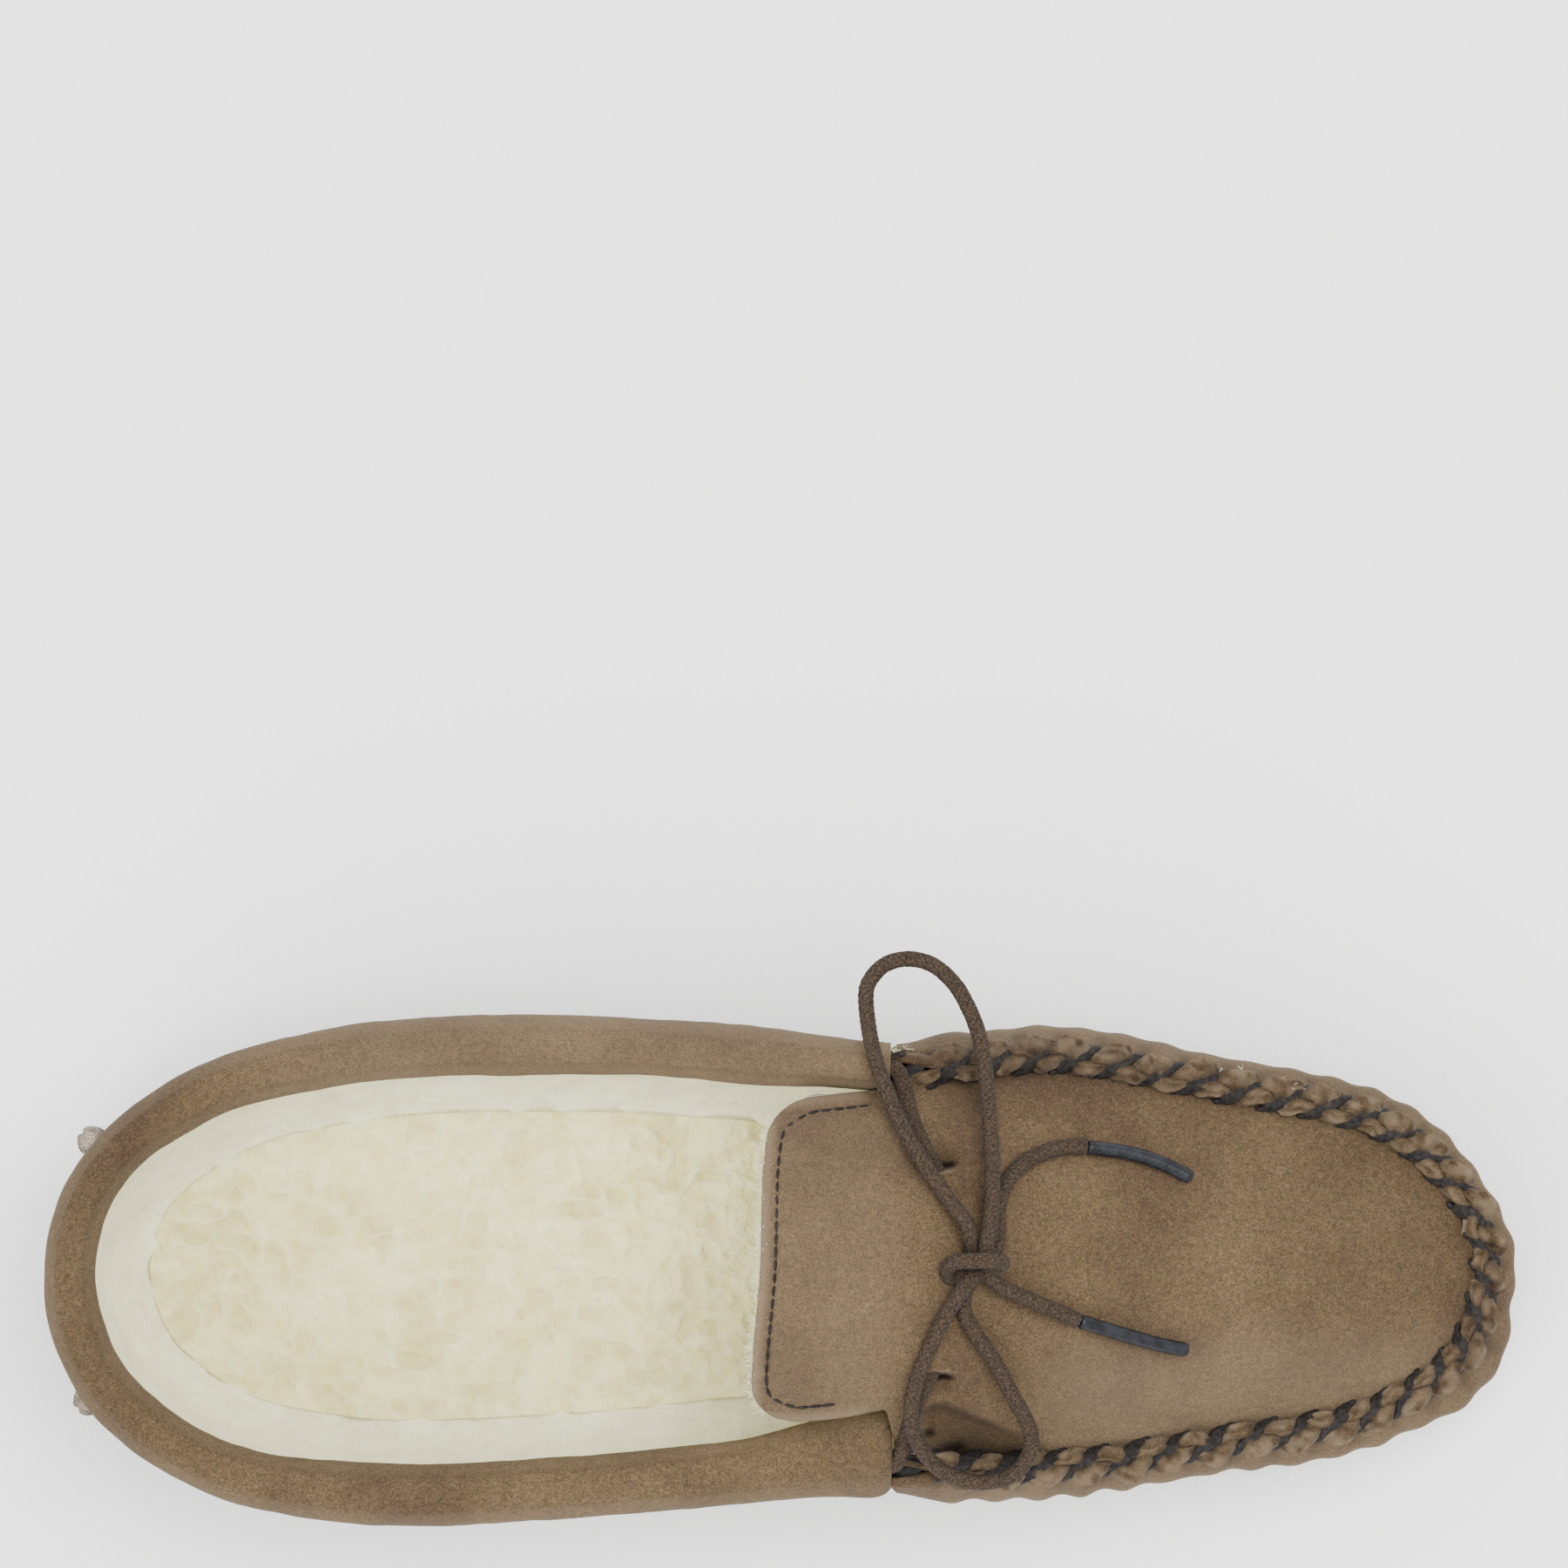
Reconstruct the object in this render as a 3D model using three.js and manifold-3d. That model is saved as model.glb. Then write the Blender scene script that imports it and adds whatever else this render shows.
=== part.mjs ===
// Sheepskin-lined suede moccasin slipper for the left foot, in millimetres.
// +X points to the toe, +Y to the lateral side, +Z up; the outsole stands on z = 0.
// Every wall follows one plan outline: a point of a wall is its station on the outline,
// its inset towards the middle of the shoe, and its height.
import * as THREE from 'three';
import { mergeVertices } from 'three/addons/utils/BufferGeometryUtils.js';
import Module from 'manifold-3d';

const wasm = await Module();
wasm.setup();

// Overall sizes
const LENGTH = 287;
const WIDTH = 99;
const WALL_HEIGHT = 1; // scales the height of the wall's top line above the floor
const GAP = 0.3; // clearance between pieces that touch on the real shoe

// Sheets
const SUEDE = 1.7;
const COLLAR_SUEDE = 1.4;
const FLEECE_WALL = 5.3;
const FLEECE_SOCK = 6.5;
const FLEECE_APRON = 4.5;
const FOAM = 3.9;
const FOAM_INSET = 14.5;
const SOCK_INSET = 17.5;
const LINING_FOOT = 1.5; // how much thicker the wall's fleece is where it meets the sock
const LINING_BELOW_RIDGE = 1.6; // from the foot of the ridge to the top of the wall's fleece
const APRON_LINING_START = 1; // in front of the throat
const LACE_ROOM_BLEND = 12;
const LACE_ROOM_END = 56; // the apron's lining leaves room for the lace up to here

// Outsole
const SOLE_THICKNESS = 6;
const SOLE_INSET = 9; // how far its edge lies inside the outline
const SOLE_EDGE_ROUND = 1.2;

// Collar: a folded strip, open downwards, over the top of the wall
const COLLAR_DEPTH = 17;
const COLLAR_CROWN = 5; // height of its rounded top
const COLLAR_WIDTH_HEEL = 9.8;
const COLLAR_WIDTH_SIDE = 11.4;
const COLLAR_WIDTH_LATERAL_END = 8.8;
const COLLAR_WIDTH_MEDIAL_END = 17;
const COLLAR_FLARE = 32; // length of the taper before each front end
const COLLAR_END_GAP = 1.2; // between its front ends and the apron

// Throat: where the collar ends and the apron begins
const THROAT_X = 22;
const THROAT_BLEND = 14; // length over which the wall changes from heel to forefoot form

// Gathered ridge, where the wrap and the apron are whipped together
const RIDGE_HEIGHT = 5.5;
const RIDGE_OUTER_INSET = 2.6;
const WRAP_EDGE = 2.5; // gathered wrap edge, seen in section
const GATHER_TURN = 1; // how much lower the inner face turns in to the gathered edge
const APRON_EDGE = 2.5; // turned-up apron edge, seen in section
const APRON_EDGE_START = 0.6; // it starts this far in front of the apron's throat
const APRON_EDGE_DEEPER = 0.7; // it reaches this far below the ridge's foot

// Apron and tongue
const APRON_DROP = 4.2; // from the ridge's top to the apron's surface beside it
const APRON_RISE_THROAT = 22; // crown above the apron's edge, at the throat
const APRON_RISE_TOE = 1.5;
const APRON_CROWN_POWER = 0.9; // below 1 the crown is flatter on top and steeper at its sides
const APRON_LEAST_HALF = 8; // half width at which the crown stops getting narrower at the toe
const TONGUE_LENGTH = 27.5;
const TONGUE_SLOPE = 0.22;
const TONGUE_HALF_WIDTH = 31.2;
const TONGUE_CENTRE_Y = 2.9;
const TONGUE_SIDE_GAP = 1.3; // beside the collar's inner face
const TONGUE_CORNER = 8;
const TONGUE_CORNER_SHARE = 0.24; // share of the half width that its rounding takes
const TONGUE_HEM = 3; // from the stitch line to the edge

// Threads and lace
const WHIP_THREAD = 1.6;
const WHIP_PITCH = 8.4;
const WHIP_START = 2.5; // from the throat to its first turn
const WHIP_OUTSIDE = 3.4; // how far below the ridge's top it enters the wrap
const WHIP_INSIDE = 1.6; // and leaves the apron's edge
const HEM_THREAD = 0.8;
const HEM_START = 0.35; // share of the tongue's length before its first stitch
const HEM_LIFT = 0.86; // from the suede to the thread's middle
const TACK_THREAD = 1;
const TACK_BACK = 3; // a tack's reach behind the throat
const TACK_AHEAD = 2.2; // and in front of it
const LACE = 3.2;
const LEAD_START = 1.9; // the two leads start this far inside the collar's ends
const AGLET = 2.8;

// Heel panel and its two seams
const HEEL_PANEL_WIDTH = 50;
const HEEL_PANEL_FOOT = 2; // above the suede floor
const HEEL_SEAM_PROUD = 3.4;
const HEEL_SEAM_WIDTH = 5;
const HEEL_SEAM_FOOT = 3; // above the underside of the suede floor

// Stations along the outline, and steps across a curved sheet
const STATIONS = 64;
const LINING_LEVELS = 5;
const FOLD_STEPS = 5;
const PANEL_ROWS = 13;
const PANEL_COLUMNS = 10;
const PANEL_TIP = 0.6; // a panel's last row lies this far behind its tip
const TONGUE_ROWS = 4;
const TONGUE_COLUMNS = 12;
const HEM_STEPS = 36;
const WHIP_SIDES = 5;
const CORD_SIDES = 8;
const CORD_STEP = 5; // length of one step of the lace

// Colours
const SUEDE_COLOR = '#8b7359';
const FLEECE_COLOR = '#d9d5bb';
const FOAM_COLOR = '#c9b98d';
const RUBBER_COLOR = '#3a332d';
const THREAD_COLOR = '#2f2a2c';
const LACE_COLOR = '#534236';
const AGLET_COLOR = '#3d393d';

// The outline in hundredths of the length and width, from the heel round by the lateral side.
const OUTLINE = [
  [-50.1, 0], [-47.7, 22.5], [-40.3, 39.9], [-29.6, 48.4], [-14.8, 50.3], [-3, 48.7],
  [7.7, 45], [17.8, 48.1], [29.6, 42.4], [41.5, 34.3], [46.7, 22.7], [49.6, 8],
  [49.8, -5], [47.7, -20.2], [41.5, -32.9], [29.6, -39.8], [17.8, -44.1], [3, -43.6],
  [-14.8, -48.1], [-29.6, -48.9], [-40.3, -41.5], [-47.7, -23.4],
];
// Height of the wall's top edge along the shoe: hundredths of the length, millimetres.
const TOP_LINE = [
  [-50, 57.8], [-38, 52.8], [-24, 48.8], [-10, 49.3], [0, 52.3], [7, 55.3],
  [10.5, 55], [14, 52.5], [21, 47.5], [28, 42.5], [35, 38], [42, 33.5], [50, 30],
];
// The wall's outer face above its floor: share of the height, and its inset in the heel part
// and in the forefoot, which bulges and turns in to the ridge.
const COLLAR_SEAT = COLLAR_SUEDE + GAP; // the wall's inset under the collar
const WALL_FORM = [
  [0.05, 9, 9], [0.2, 5, 4.2], [0.42, 2.6, 1.1], [0.66, COLLAR_SEAT, 0], [0.86, COLLAR_SEAT, 0.7],
];
const FLOOR_TURN = 13; // inset at which the wall turns in to the floor
// The heel seam's section: shares of half its width and of its height.
const SEAM_SECTION = [[-1, 0], [-1, 0.6], [-0.5, 1], [0.5, 1], [1, 0.6], [1, 0]];

// The lace's route outside the collar: the leads from the ends of its channel to the knot,
// the loops and tails of the bow, and the aglets on the tails.
const LEAD_LATERAL = [
  [19.8, 40.3, 57.1], [21.9, 39.7, 57.5], [23.4, 36.2, 58.6], [24.6, 31, 61.3], [26.4, 26.4, 64.8],
  [28.2, 22.8, 66.7], [29.6, 20.2, 65.4], [31.2, 17, 62.9], [33.2, 12, 64.1], [35, 7.6, 65.8],
  [36, 4.9, 68.2],
];
const LEAD_MEDIAL = [
  [19.9, -37.5, 57.2], [21.6, -37, 57.5], [23.1, -33.9, 58.9], [24.2, -29.6, 61.3], [25.6, -25, 64.8],
  [27.2, -21.6, 66.4], [28.6, -18.9, 65.4], [30, -15.6, 62.9], [32.4, -10.6, 64.3],
  [35, -3, 65.5], [36.4, 0.6, 68.3],
];
const LOOP_LATERAL = [
  [35.4, 10, 73], [32, 14.6, 71.6], [26.6, 22.4, 70], [22.7, 29.2, 67.4], [18.8, 38.5, 65],
  [16.9, 45.3, 63], [15.9, 54.1, 60.2], [16.4, 56.5, 59.6], [19.3, 59.9, 58.6],
  [23.7, 61.2, 58], [28.6, 60.2, 57.8], [33, 56.5, 58], [35.9, 51.6, 58.4], [37.9, 46.3, 58.9],
  [39.1, 39.4, 60.2], [39.8, 31.6, 62.6], [40.3, 23.3, 66.4], [40.3, 16, 70], [39.9, 10, 72.4],
];
const LOOP_MEDIAL = [
  [32.5, -4.2, 72.4], [31.4, -6.6, 72.2], [28.8, -12.4, 71.2], [26.2, -18.5, 70.4],
  [24.7, -24.6, 68.9], [24.9, -29.8, 66.2], [27.1, -34.5, 62.8], [30.5, -38, 60.4],
  [34.9, -40, 59.2], [39.6, -40.4, 58.2], [44, -39.3, 57.6], [47, -36.3, 57.6],
  [48.1, -31.9, 58.4], [47, -27.6, 60], [44.4, -22.4, 62.8], [40.9, -16.8, 66.4],
  [37.5, -11.1, 69.8], [36.4, -4.8, 72.4],
];
const TAIL_LATERAL = [
  [41.5, 9.5, 68.6], [41.5, 12.6, 67.4], [42.8, 17.4, 65.1], [46.4, 21.5, 62], [51.2, 23.9, 59.1],
  [56.4, 24.8, 56.8], [58.6, 24.7, 56],
];
const TAIL_MEDIAL = [
  [42.6, -2.4, 68], [48.3, -5.1, 65.2], [53.4, -7.3, 62.6], [57, -9, 60.8],
];
const AGLET_LATERAL = [
  [58.9, 24.6, 55.8], [67.5, 23.3, 52.8], [74.1, 21.1, 50.8], [79.3, 18.5, 49.5],
];
const AGLET_MEDIAL = [
  [57.4, -9.1, 60.6], [65.6, -11.7, 56.5], [73, -13.9, 52.9], [78.5, -15, 50.3],
];
const KNOT_CENTRE = [36.9, 2.7, 72.8];
const KNOT_HALF = [5.6, 7, 3.6];
const SLIT = [5.2, 0.9, 8];
const SLITS = [[30.8, 21.2, 64], [30.3, -19.6, 64]];

// ---------------------------------------------------------------- curves and stations

const floorZ = SOLE_THICKNESS + GAP; // underside of the suede floor
const lerp = THREE.MathUtils.lerp;

function ease(x, from, to) {
  return THREE.MathUtils.smoothstep(x, from, to);
}

// A smooth curve through the outline's points, as many closely spaced stations.
const outlineCurve = new THREE.CatmullRomCurve3(
  OUTLINE.map(([x, y]) => new THREE.Vector3((x * LENGTH) / 100, (y * WIDTH) / 100, 0)),
  true,
  'centripetal',
);
const FINE = 720;
const fine = Array.from({ length: FINE }, (_, i) => {
  const at = outlineCurve.getPointAt(i / FINE);
  const along = outlineCurve.getTangentAt(i / FINE);
  return { x: at.x, y: at.y, nx: -along.y, ny: along.x };
});
const toeIndex = fine.reduce((best, p, i) => (p.x > fine[best].x ? i : best), 0);

// The station at a fraction of the way round the outline.
function station(fraction) {
  const at = (((fraction % 1) + 1) % 1) * FINE;
  const a = fine[Math.floor(at) % FINE];
  const b = fine[(Math.floor(at) + 1) % FINE];
  const k = at - Math.floor(at);
  const nx = lerp(a.nx, b.nx, k);
  const ny = lerp(a.ny, b.ny, k);
  const size = Math.hypot(nx, ny);
  return { x: lerp(a.x, b.x, k), y: lerp(a.y, b.y, k), nx: nx / size, ny: ny / size };
}

// The fraction at which one side of the outline, set in by inset, reaches x.
function fractionAt(x, side, inset = 0) {
  for (let i = 0; i < toeIndex; i++) {
    const index = side > 0 ? i : FINE - i;
    const next = side > 0 ? i + 1 : FINE - i - 1;
    const a = fine[index % FINE];
    const b = fine[next % FINE];
    const ax = a.x - a.nx * inset;
    const bx = b.x - b.nx * inset;
    if (ax <= x && bx > x) return lerp(index, next, (x - ax) / (bx - ax)) / FINE;
  }
  return toeIndex / FINE;
}

// Where the outline, set in by inset, crosses x on one side.
function sideY(x, side, inset) {
  const s = station(fractionAt(x, side, inset));
  return s.y - s.ny * inset;
}

function tipX(inset) {
  return Math.max(...fine.map((p) => p.x - p.nx * inset));
}

function place(s, inset, z) {
  return new THREE.Vector3(s.x - s.nx * inset, s.y - s.ny * inset, z);
}

const topCurve = new THREE.SplineCurve(
  TOP_LINE.map(([x, z]) => new THREE.Vector2((x * LENGTH) / 100, z)),
);
const topPoints = topCurve.getPoints(240);

// Height of the wall's top edge at x.
function wallTop(x) {
  let i = 1;
  while (i < topPoints.length - 1 && topPoints[i].x < x) i++;
  const a = topPoints[i - 1];
  const b = topPoints[i];
  const k = THREE.MathUtils.clamp((x - a.x) / (b.x - a.x), 0, 1);
  return floorZ + (lerp(a.y, b.y, k) - floorZ) * WALL_HEIGHT;
}

// 0 in the collared heel part, 1 in the gathered forefoot.
function forefoot(x) {
  return ease(x, THROAT_X, THROAT_X + THROAT_BLEND);
}

function collarWidth(s) {
  const end = s.y > 0 ? COLLAR_WIDTH_LATERAL_END : COLLAR_WIDTH_MEDIAL_END;
  const back = lerp(COLLAR_WIDTH_HEEL, COLLAR_WIDTH_SIDE, ease(s.x, -0.5 * LENGTH, -0.25 * LENGTH));
  return lerp(back, end, ease(s.x, THROAT_X - COLLAR_FLARE, THROAT_X));
}

// The lace lies between the wall's top edge and the fold of the collar.
const collarAboveWall = COLLAR_SUEDE + LACE + 4 * GAP;

// ---------------------------------------------------------------- solids

// Joins closed rows of points, each as long as the next, into one closed solid. An open run
// of rows is capped by flat(row), the row's points in two dimensions; a closed run has none.
function skin(rows, flat) {
  const n = rows[0].length;
  const positions = rows.flat().flatMap((p) => [p.x, p.y, p.z]);
  const index = [];
  const last = flat ? rows.length - 1 : rows.length;
  for (let r = 0; r < last; r++) {
    for (let i = 0; i < n; i++) {
      const j = (i + 1) % n;
      const next = (r + 1) % rows.length;
      const [a, b, c, d] = [r * n + i, r * n + j, next * n + j, next * n + i];
      index.push(a, b, c, a, c, d);
    }
  }
  if (flat) {
    for (const r of [0, rows.length - 1]) {
      const outline = flat(rows[r], r);
      const turn = THREE.ShapeUtils.area(outline);
      for (const face of THREE.ShapeUtils.triangulateShape(outline, [])) {
        const forward = THREE.ShapeUtils.area(face.map((i) => outline[i])) * turn > 0;
        const [a, b, c] = face.map((i) => r * n + i);
        if (forward === r > 0) index.push(a, b, c);
        else index.push(a, c, b);
      }
    }
  }
  const geometry = new THREE.BufferGeometry();
  geometry.setAttribute('position', new THREE.Float32BufferAttribute(positions, 3));
  geometry.setIndex(index);
  return outward(geometry);
}

// A sheet between two grids of points, closed along its four edges.
function sheet(upper, lower) {
  const across = upper[0].length;
  const loops = upper.map((row, r) => [...row, ...lower[r].slice().reverse()]);
  const strip = Array.from({ length: across }, (_, i) => i);
  const bulge = (i) => 1e-3 * i * (across - 1 - i);
  return skin(loops, () => [
    ...strip.map((i) => new THREE.Vector2(i, 1 + bulge(i))),
    ...strip.map((i) => new THREE.Vector2(across - 1 - i, -bulge(i))),
  ]);
}

function volumeOf(geometry) {
  const p = geometry.attributes.position;
  const index = geometry.index.array;
  const corner = [new THREE.Vector3(), new THREE.Vector3(), new THREE.Vector3()];
  let volume = 0;
  for (let i = 0; i < index.length; i += 3) {
    corner.forEach((v, k) => v.fromBufferAttribute(p, index[i + k]));
    volume += corner[0].dot(corner[1].clone().cross(corner[2])) / 6;
  }
  return volume;
}

function outward(geometry) {
  if (volumeOf(geometry) < 0) geometry.setIndex([...geometry.index.array].reverse());
  return geometry;
}

function toManifold(geometry) {
  const plain = geometry.clone();
  plain.deleteAttribute('normal');
  plain.deleteAttribute('uv');
  const merged = mergeVertices(plain, 1e-4);
  return new wasm.Manifold(new wasm.Mesh({
    numProp: 3,
    vertProperties: new Float32Array(merged.attributes.position.array),
    triVerts: new Uint32Array(merged.index.array),
  }));
}

function fromManifold(solid) {
  const mesh = solid.getMesh();
  const geometry = new THREE.BufferGeometry();
  geometry.setAttribute('position', new THREE.BufferAttribute(mesh.vertProperties, 3));
  geometry.setIndex(new THREE.BufferAttribute(mesh.triVerts, 1));
  return geometry;
}

function cut(geometry, ...tools) {
  return fromManifold(tools.reduce((left, tool) => left.subtract(toManifold(tool)), toManifold(geometry)));
}

function common(geometry, tool) {
  return fromManifold(toManifold(geometry).intersect(toManifold(tool)));
}

function join(geometry, other) {
  return fromManifold(toManifold(geometry).add(toManifold(other)));
}

function boxAt(centre, size) {
  return new THREE.BoxGeometry(...size).translate(...centre);
}

// A path with its sections at its points, so that a thread keeps its corners.
class CornerPath extends THREE.CatmullRomCurve3 {
  getUtoTmapping(u) {
    return u;
  }
}

function smoothPath(points) {
  return new THREE.CatmullRomCurve3(points, false, 'centripetal');
}

// A round tube along a path.
function tube(path, diameter, steps, sides) {
  const section = new THREE.Shape(Array.from({ length: sides }, (_, i) => {
    const angle = (i / sides) * 2 * Math.PI;
    return new THREE.Vector2((Math.cos(angle) * diameter) / 2, (Math.sin(angle) * diameter) / 2);
  }));
  return new THREE.ExtrudeGeometry(section, { steps, extrudePath: path, bevelEnabled: false });
}

const group = new THREE.Group();

function add(name, geometry, color, roughness) {
  const material = new THREE.MeshStandardMaterial({ color, roughness, metalness: 0 });
  const mesh = new THREE.Mesh(geometry, material);
  mesh.name = name;
  group.add(mesh);
  return mesh;
}

// ---------------------------------------------------------------- bottom

const plan = (row) => row.map((p) => new THREE.Vector2(p.x, p.y));

// Rows round the outline, one through each point of the section that sectionOf(s) gives.
function wallRows(sectionOf) {
  const sections = Array.from({ length: STATIONS }, (_, k) => {
    const s = station(k / STATIONS);
    return sectionOf(s).map(([inset, z]) => place(s, inset, z));
  });
  return sections[0].map((_, row) => sections.map((section) => section[row]));
}

// A flat slab that follows the outline, between two heights.
function slab(inset, from, to) {
  return skin(wallRows(() => [[inset, from], [inset, to]]), plan);
}

function outsole() {
  const round = SOLE_EDGE_ROUND;
  const section = [[SOLE_INSET + round, 0], [SOLE_INSET, round], [SOLE_INSET, SOLE_THICKNESS]];
  return skin(wallRows(() => section), plan);
}

const suedeFloorTop = floorZ + SUEDE;
const foamTop = suedeFloorTop + GAP + FOAM;
const sockTop = foamTop + GAP + FLEECE_SOCK;

// ---------------------------------------------------------------- walls

// The outer face of the upper at a station, from the floor's edge to the top edge.
function outerFace(s) {
  const k = forefoot(s.x);
  const top = wallTop(s.x);
  const foot = top - RIDGE_HEIGHT;
  const edge = lerp(COLLAR_SEAT, RIDGE_OUTER_INSET, k);
  const wall = WALL_FORM.map(([share, heel, front]) => [lerp(heel, front, k), lerp(floorZ, foot, share)]);
  return [[FLOOR_TURN, floorZ], ...wall, [edge, foot], [edge, top]];
}

// The inner face, from the top edge back to the floor, a sheet's thickness inside the other:
// the gathered edge is thicker, and the bend to the floor is rounder inside.
function innerFace(s) {
  const k = forefoot(s.x);
  const [, toe1, toe2, low, middle, high, foot, top] = outerFace(s);
  const edge = lerp(SUEDE, WRAP_EDGE, k);
  const inside = ([inset, z], thickness, rise) => [inset + thickness, z + rise];
  return [
    inside(top, edge, 0),
    inside(foot, edge, -GATHER_TURN / 2),
    inside(high, SUEDE + (k * GATHER_TURN) / 2, -k * GATHER_TURN),
    inside(middle, SUEDE, 0),
    inside(low, SUEDE, 0.2 * SUEDE),
    inside(toe2, SUEDE, 0.5 * SUEDE),
    inside(toe1, SUEDE, 0.9 * SUEDE),
    [FLOOR_TURN + 0.5 * SUEDE, suedeFloorTop],
  ];
}

// The whole suede upper below the collar and the apron, as one tub.
function suedeTub() {
  const rows = wallRows((s) => [...outerFace(s), ...innerFace(s)]);
  return skin(rows, plan);
}

// The part of the tub between the two heel seams, above the floor.
function heelWindow(gap) {
  const width = HEEL_PANEL_WIDTH + 2 * gap;
  const bottom = suedeFloorTop + HEEL_PANEL_FOOT - gap;
  const height = wallTop(-LENGTH / 2);
  return boxAt([-LENGTH / 2, 0, bottom + height / 2], [LENGTH / 4, width, height]);
}

// One raised seam down the back: the joined edges of the wrap and the heel panel.
function heelSeam(side) {
  const reach = FINE / 6;
  const candidates = Array.from({ length: reach }, (_, i) => station((side * i) / FINE));
  const s = candidates.find((c) => Math.abs(c.y) >= HEEL_PANEL_WIDTH / 2);
  const along = new THREE.Vector3(-s.ny, s.nx, 0);
  const top = collarTop(s) - COLLAR_DEPTH - GAP;
  const face = outerFace(s);
  const heights = Array.from({ length: 6 }, (_, i) => lerp(floorZ + HEEL_SEAM_FOOT, top, i / 5));
  const rows = heights.map((z) => SEAM_SECTION.map(([across, out]) => {
    const inset = insetAt(face, z) - GAP - out * HEEL_SEAM_PROUD;
    return place(s, inset, z).addScaledVector(along, (across * HEEL_SEAM_WIDTH) / 2);
  }));
  return skin(rows, () => SEAM_SECTION.map((p) => new THREE.Vector2(...p)));
}

// ---------------------------------------------------------------- linings and footbed

// The inset of a wall's face at a height.
function insetAt(face, z) {
  const points = face.slice().sort((a, b) => a[1] - b[1]);
  let i = 1;
  while (i < points.length - 1 && points[i][1] < z) i++;
  const [a, b] = [points[i - 1], points[i]];
  return lerp(a[0], b[0], THREE.MathUtils.clamp((z - a[1]) / (b[1] - a[1]), 0, 1));
}

// The fleece fills what the collar's width leaves beside the wall, up to its own thickness.
function liningThickness(s) {
  const room = collarWidth(s) - 2 * (COLLAR_SUEDE + GAP) - SUEDE - GAP;
  return Math.min(FLEECE_WALL, lerp(room, FLEECE_WALL, ease(s.x, THROAT_X, THROAT_X + THROAT_BLEND)));
}

// How far below the wall's top edge the lining ends: inside the collar, or under the ridge.
function liningDrop(x) {
  return (RIDGE_HEIGHT + LINING_BELOW_RIDGE) * ease(x, THROAT_X - 2 * THROAT_BLEND, THROAT_X - THROAT_BLEND);
}

function wallLining() {
  const levels = LINING_LEVELS;
  const bottom = foamTop + GAP;
  const rows = wallRows((s) => {
    const face = innerFace(s);
    const top = wallTop(s.x) - liningDrop(s.x);
    const outer = Array.from({ length: levels + 1 }, (_, i) => {
      const z = lerp(top, bottom, i / levels);
      return [insetAt(face, z) + GAP, z];
    });
    const thick = liningThickness(s);
    const inner = outer.map(([inset, z], i) => [inset + thick + (i === levels ? LINING_FOOT : 0), z]);
    return [...outer, ...inner.reverse()];
  });
  return skin(rows);
}

// ---------------------------------------------------------------- collar

function collarTop(s) {
  return wallTop(s.x) + collarAboveWall;
}

// The stations between two fractions: the wall's own, so that facets lie face to face.
function run(from, to) {
  const between = [];
  for (let k = -STATIONS; k <= STATIONS; k++) {
    const f = k / STATIONS;
    const margin = 0.2 / STATIONS;
    if (f > Math.min(from, to) + margin && f < Math.max(from, to) - margin) between.push(f);
  }
  if (from > to) between.reverse();
  return [from, ...between, to].map(station);
}

// From the lateral throat back round the heel to the medial throat.
function aroundHeel(x) {
  return run(fractionAt(x, 1), fractionAt(x, -1) - 1);
}

// From the lateral throat forward round the toe to the medial throat.
function aroundToe(x) {
  return run(fractionAt(x, 1), fractionAt(x, -1));
}

// One side of the folded strip: down the outer leg, over the fold and down the inner leg.
function collarFold(s, depthIn) {
  const width = collarWidth(s);
  const top = collarTop(s);
  const spring = top - COLLAR_CROWN;
  const arc = Array.from({ length: FOLD_STEPS + 1 }, (_, i) => {
    const angle = (i / FOLD_STEPS) * Math.PI;
    return [
      width / 2 - (width / 2 - depthIn) * Math.cos(angle),
      spring + (COLLAR_CROWN - depthIn) * Math.sin(angle),
    ];
  });
  const foot = top - COLLAR_DEPTH;
  const profile = [[depthIn, foot], ...arc, [width - depthIn, foot]];
  return profile.map(([inset, z]) => place(s, inset, z));
}

function collar() {
  const path = aroundHeel(THROAT_X - COLLAR_END_GAP);
  return sheet(path.map((s) => collarFold(s, 0)), path.map((s) => collarFold(s, COLLAR_SUEDE)));
}

// ---------------------------------------------------------------- apron and tongue

// The inset of the gathered wrap edge's inner face, where the apron's edge stands beside it.
function ridgeInset(x) {
  return lerp(COLLAR_SEAT + SUEDE, RIDGE_OUTER_INSET + WRAP_EDGE, forefoot(x)) + GAP;
}

function apronSpan(x, inset) {
  const lateral = sideY(x, 1, inset);
  const medial = sideY(x, -1, inset);
  return { middle: (lateral + medial) / 2, half: (lateral - medial) / 2 };
}

const apronTip = tipX(RIDGE_OUTER_INSET + WRAP_EDGE + APRON_EDGE);

// Height of the upper face of the apron, and of the tongue behind the throat.
function upperZ(x, y) {
  const at = Math.max(x, THROAT_X);
  const { middle, half } = apronSpan(at, ridgeInset(at) + APRON_EDGE);
  const across = Math.min(1, Math.abs(y - middle) / Math.max(half, APRON_LEAST_HALF));
  const rise = lerp(APRON_RISE_THROAT, APRON_RISE_TOE, (at - THROAT_X) / (apronTip - THROAT_X));
  const crown = rise * (1 - across * across) ** APRON_CROWN_POWER;
  return wallTop(at) - APRON_DROP + crown + TONGUE_SLOPE * (at - x);
}

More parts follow.
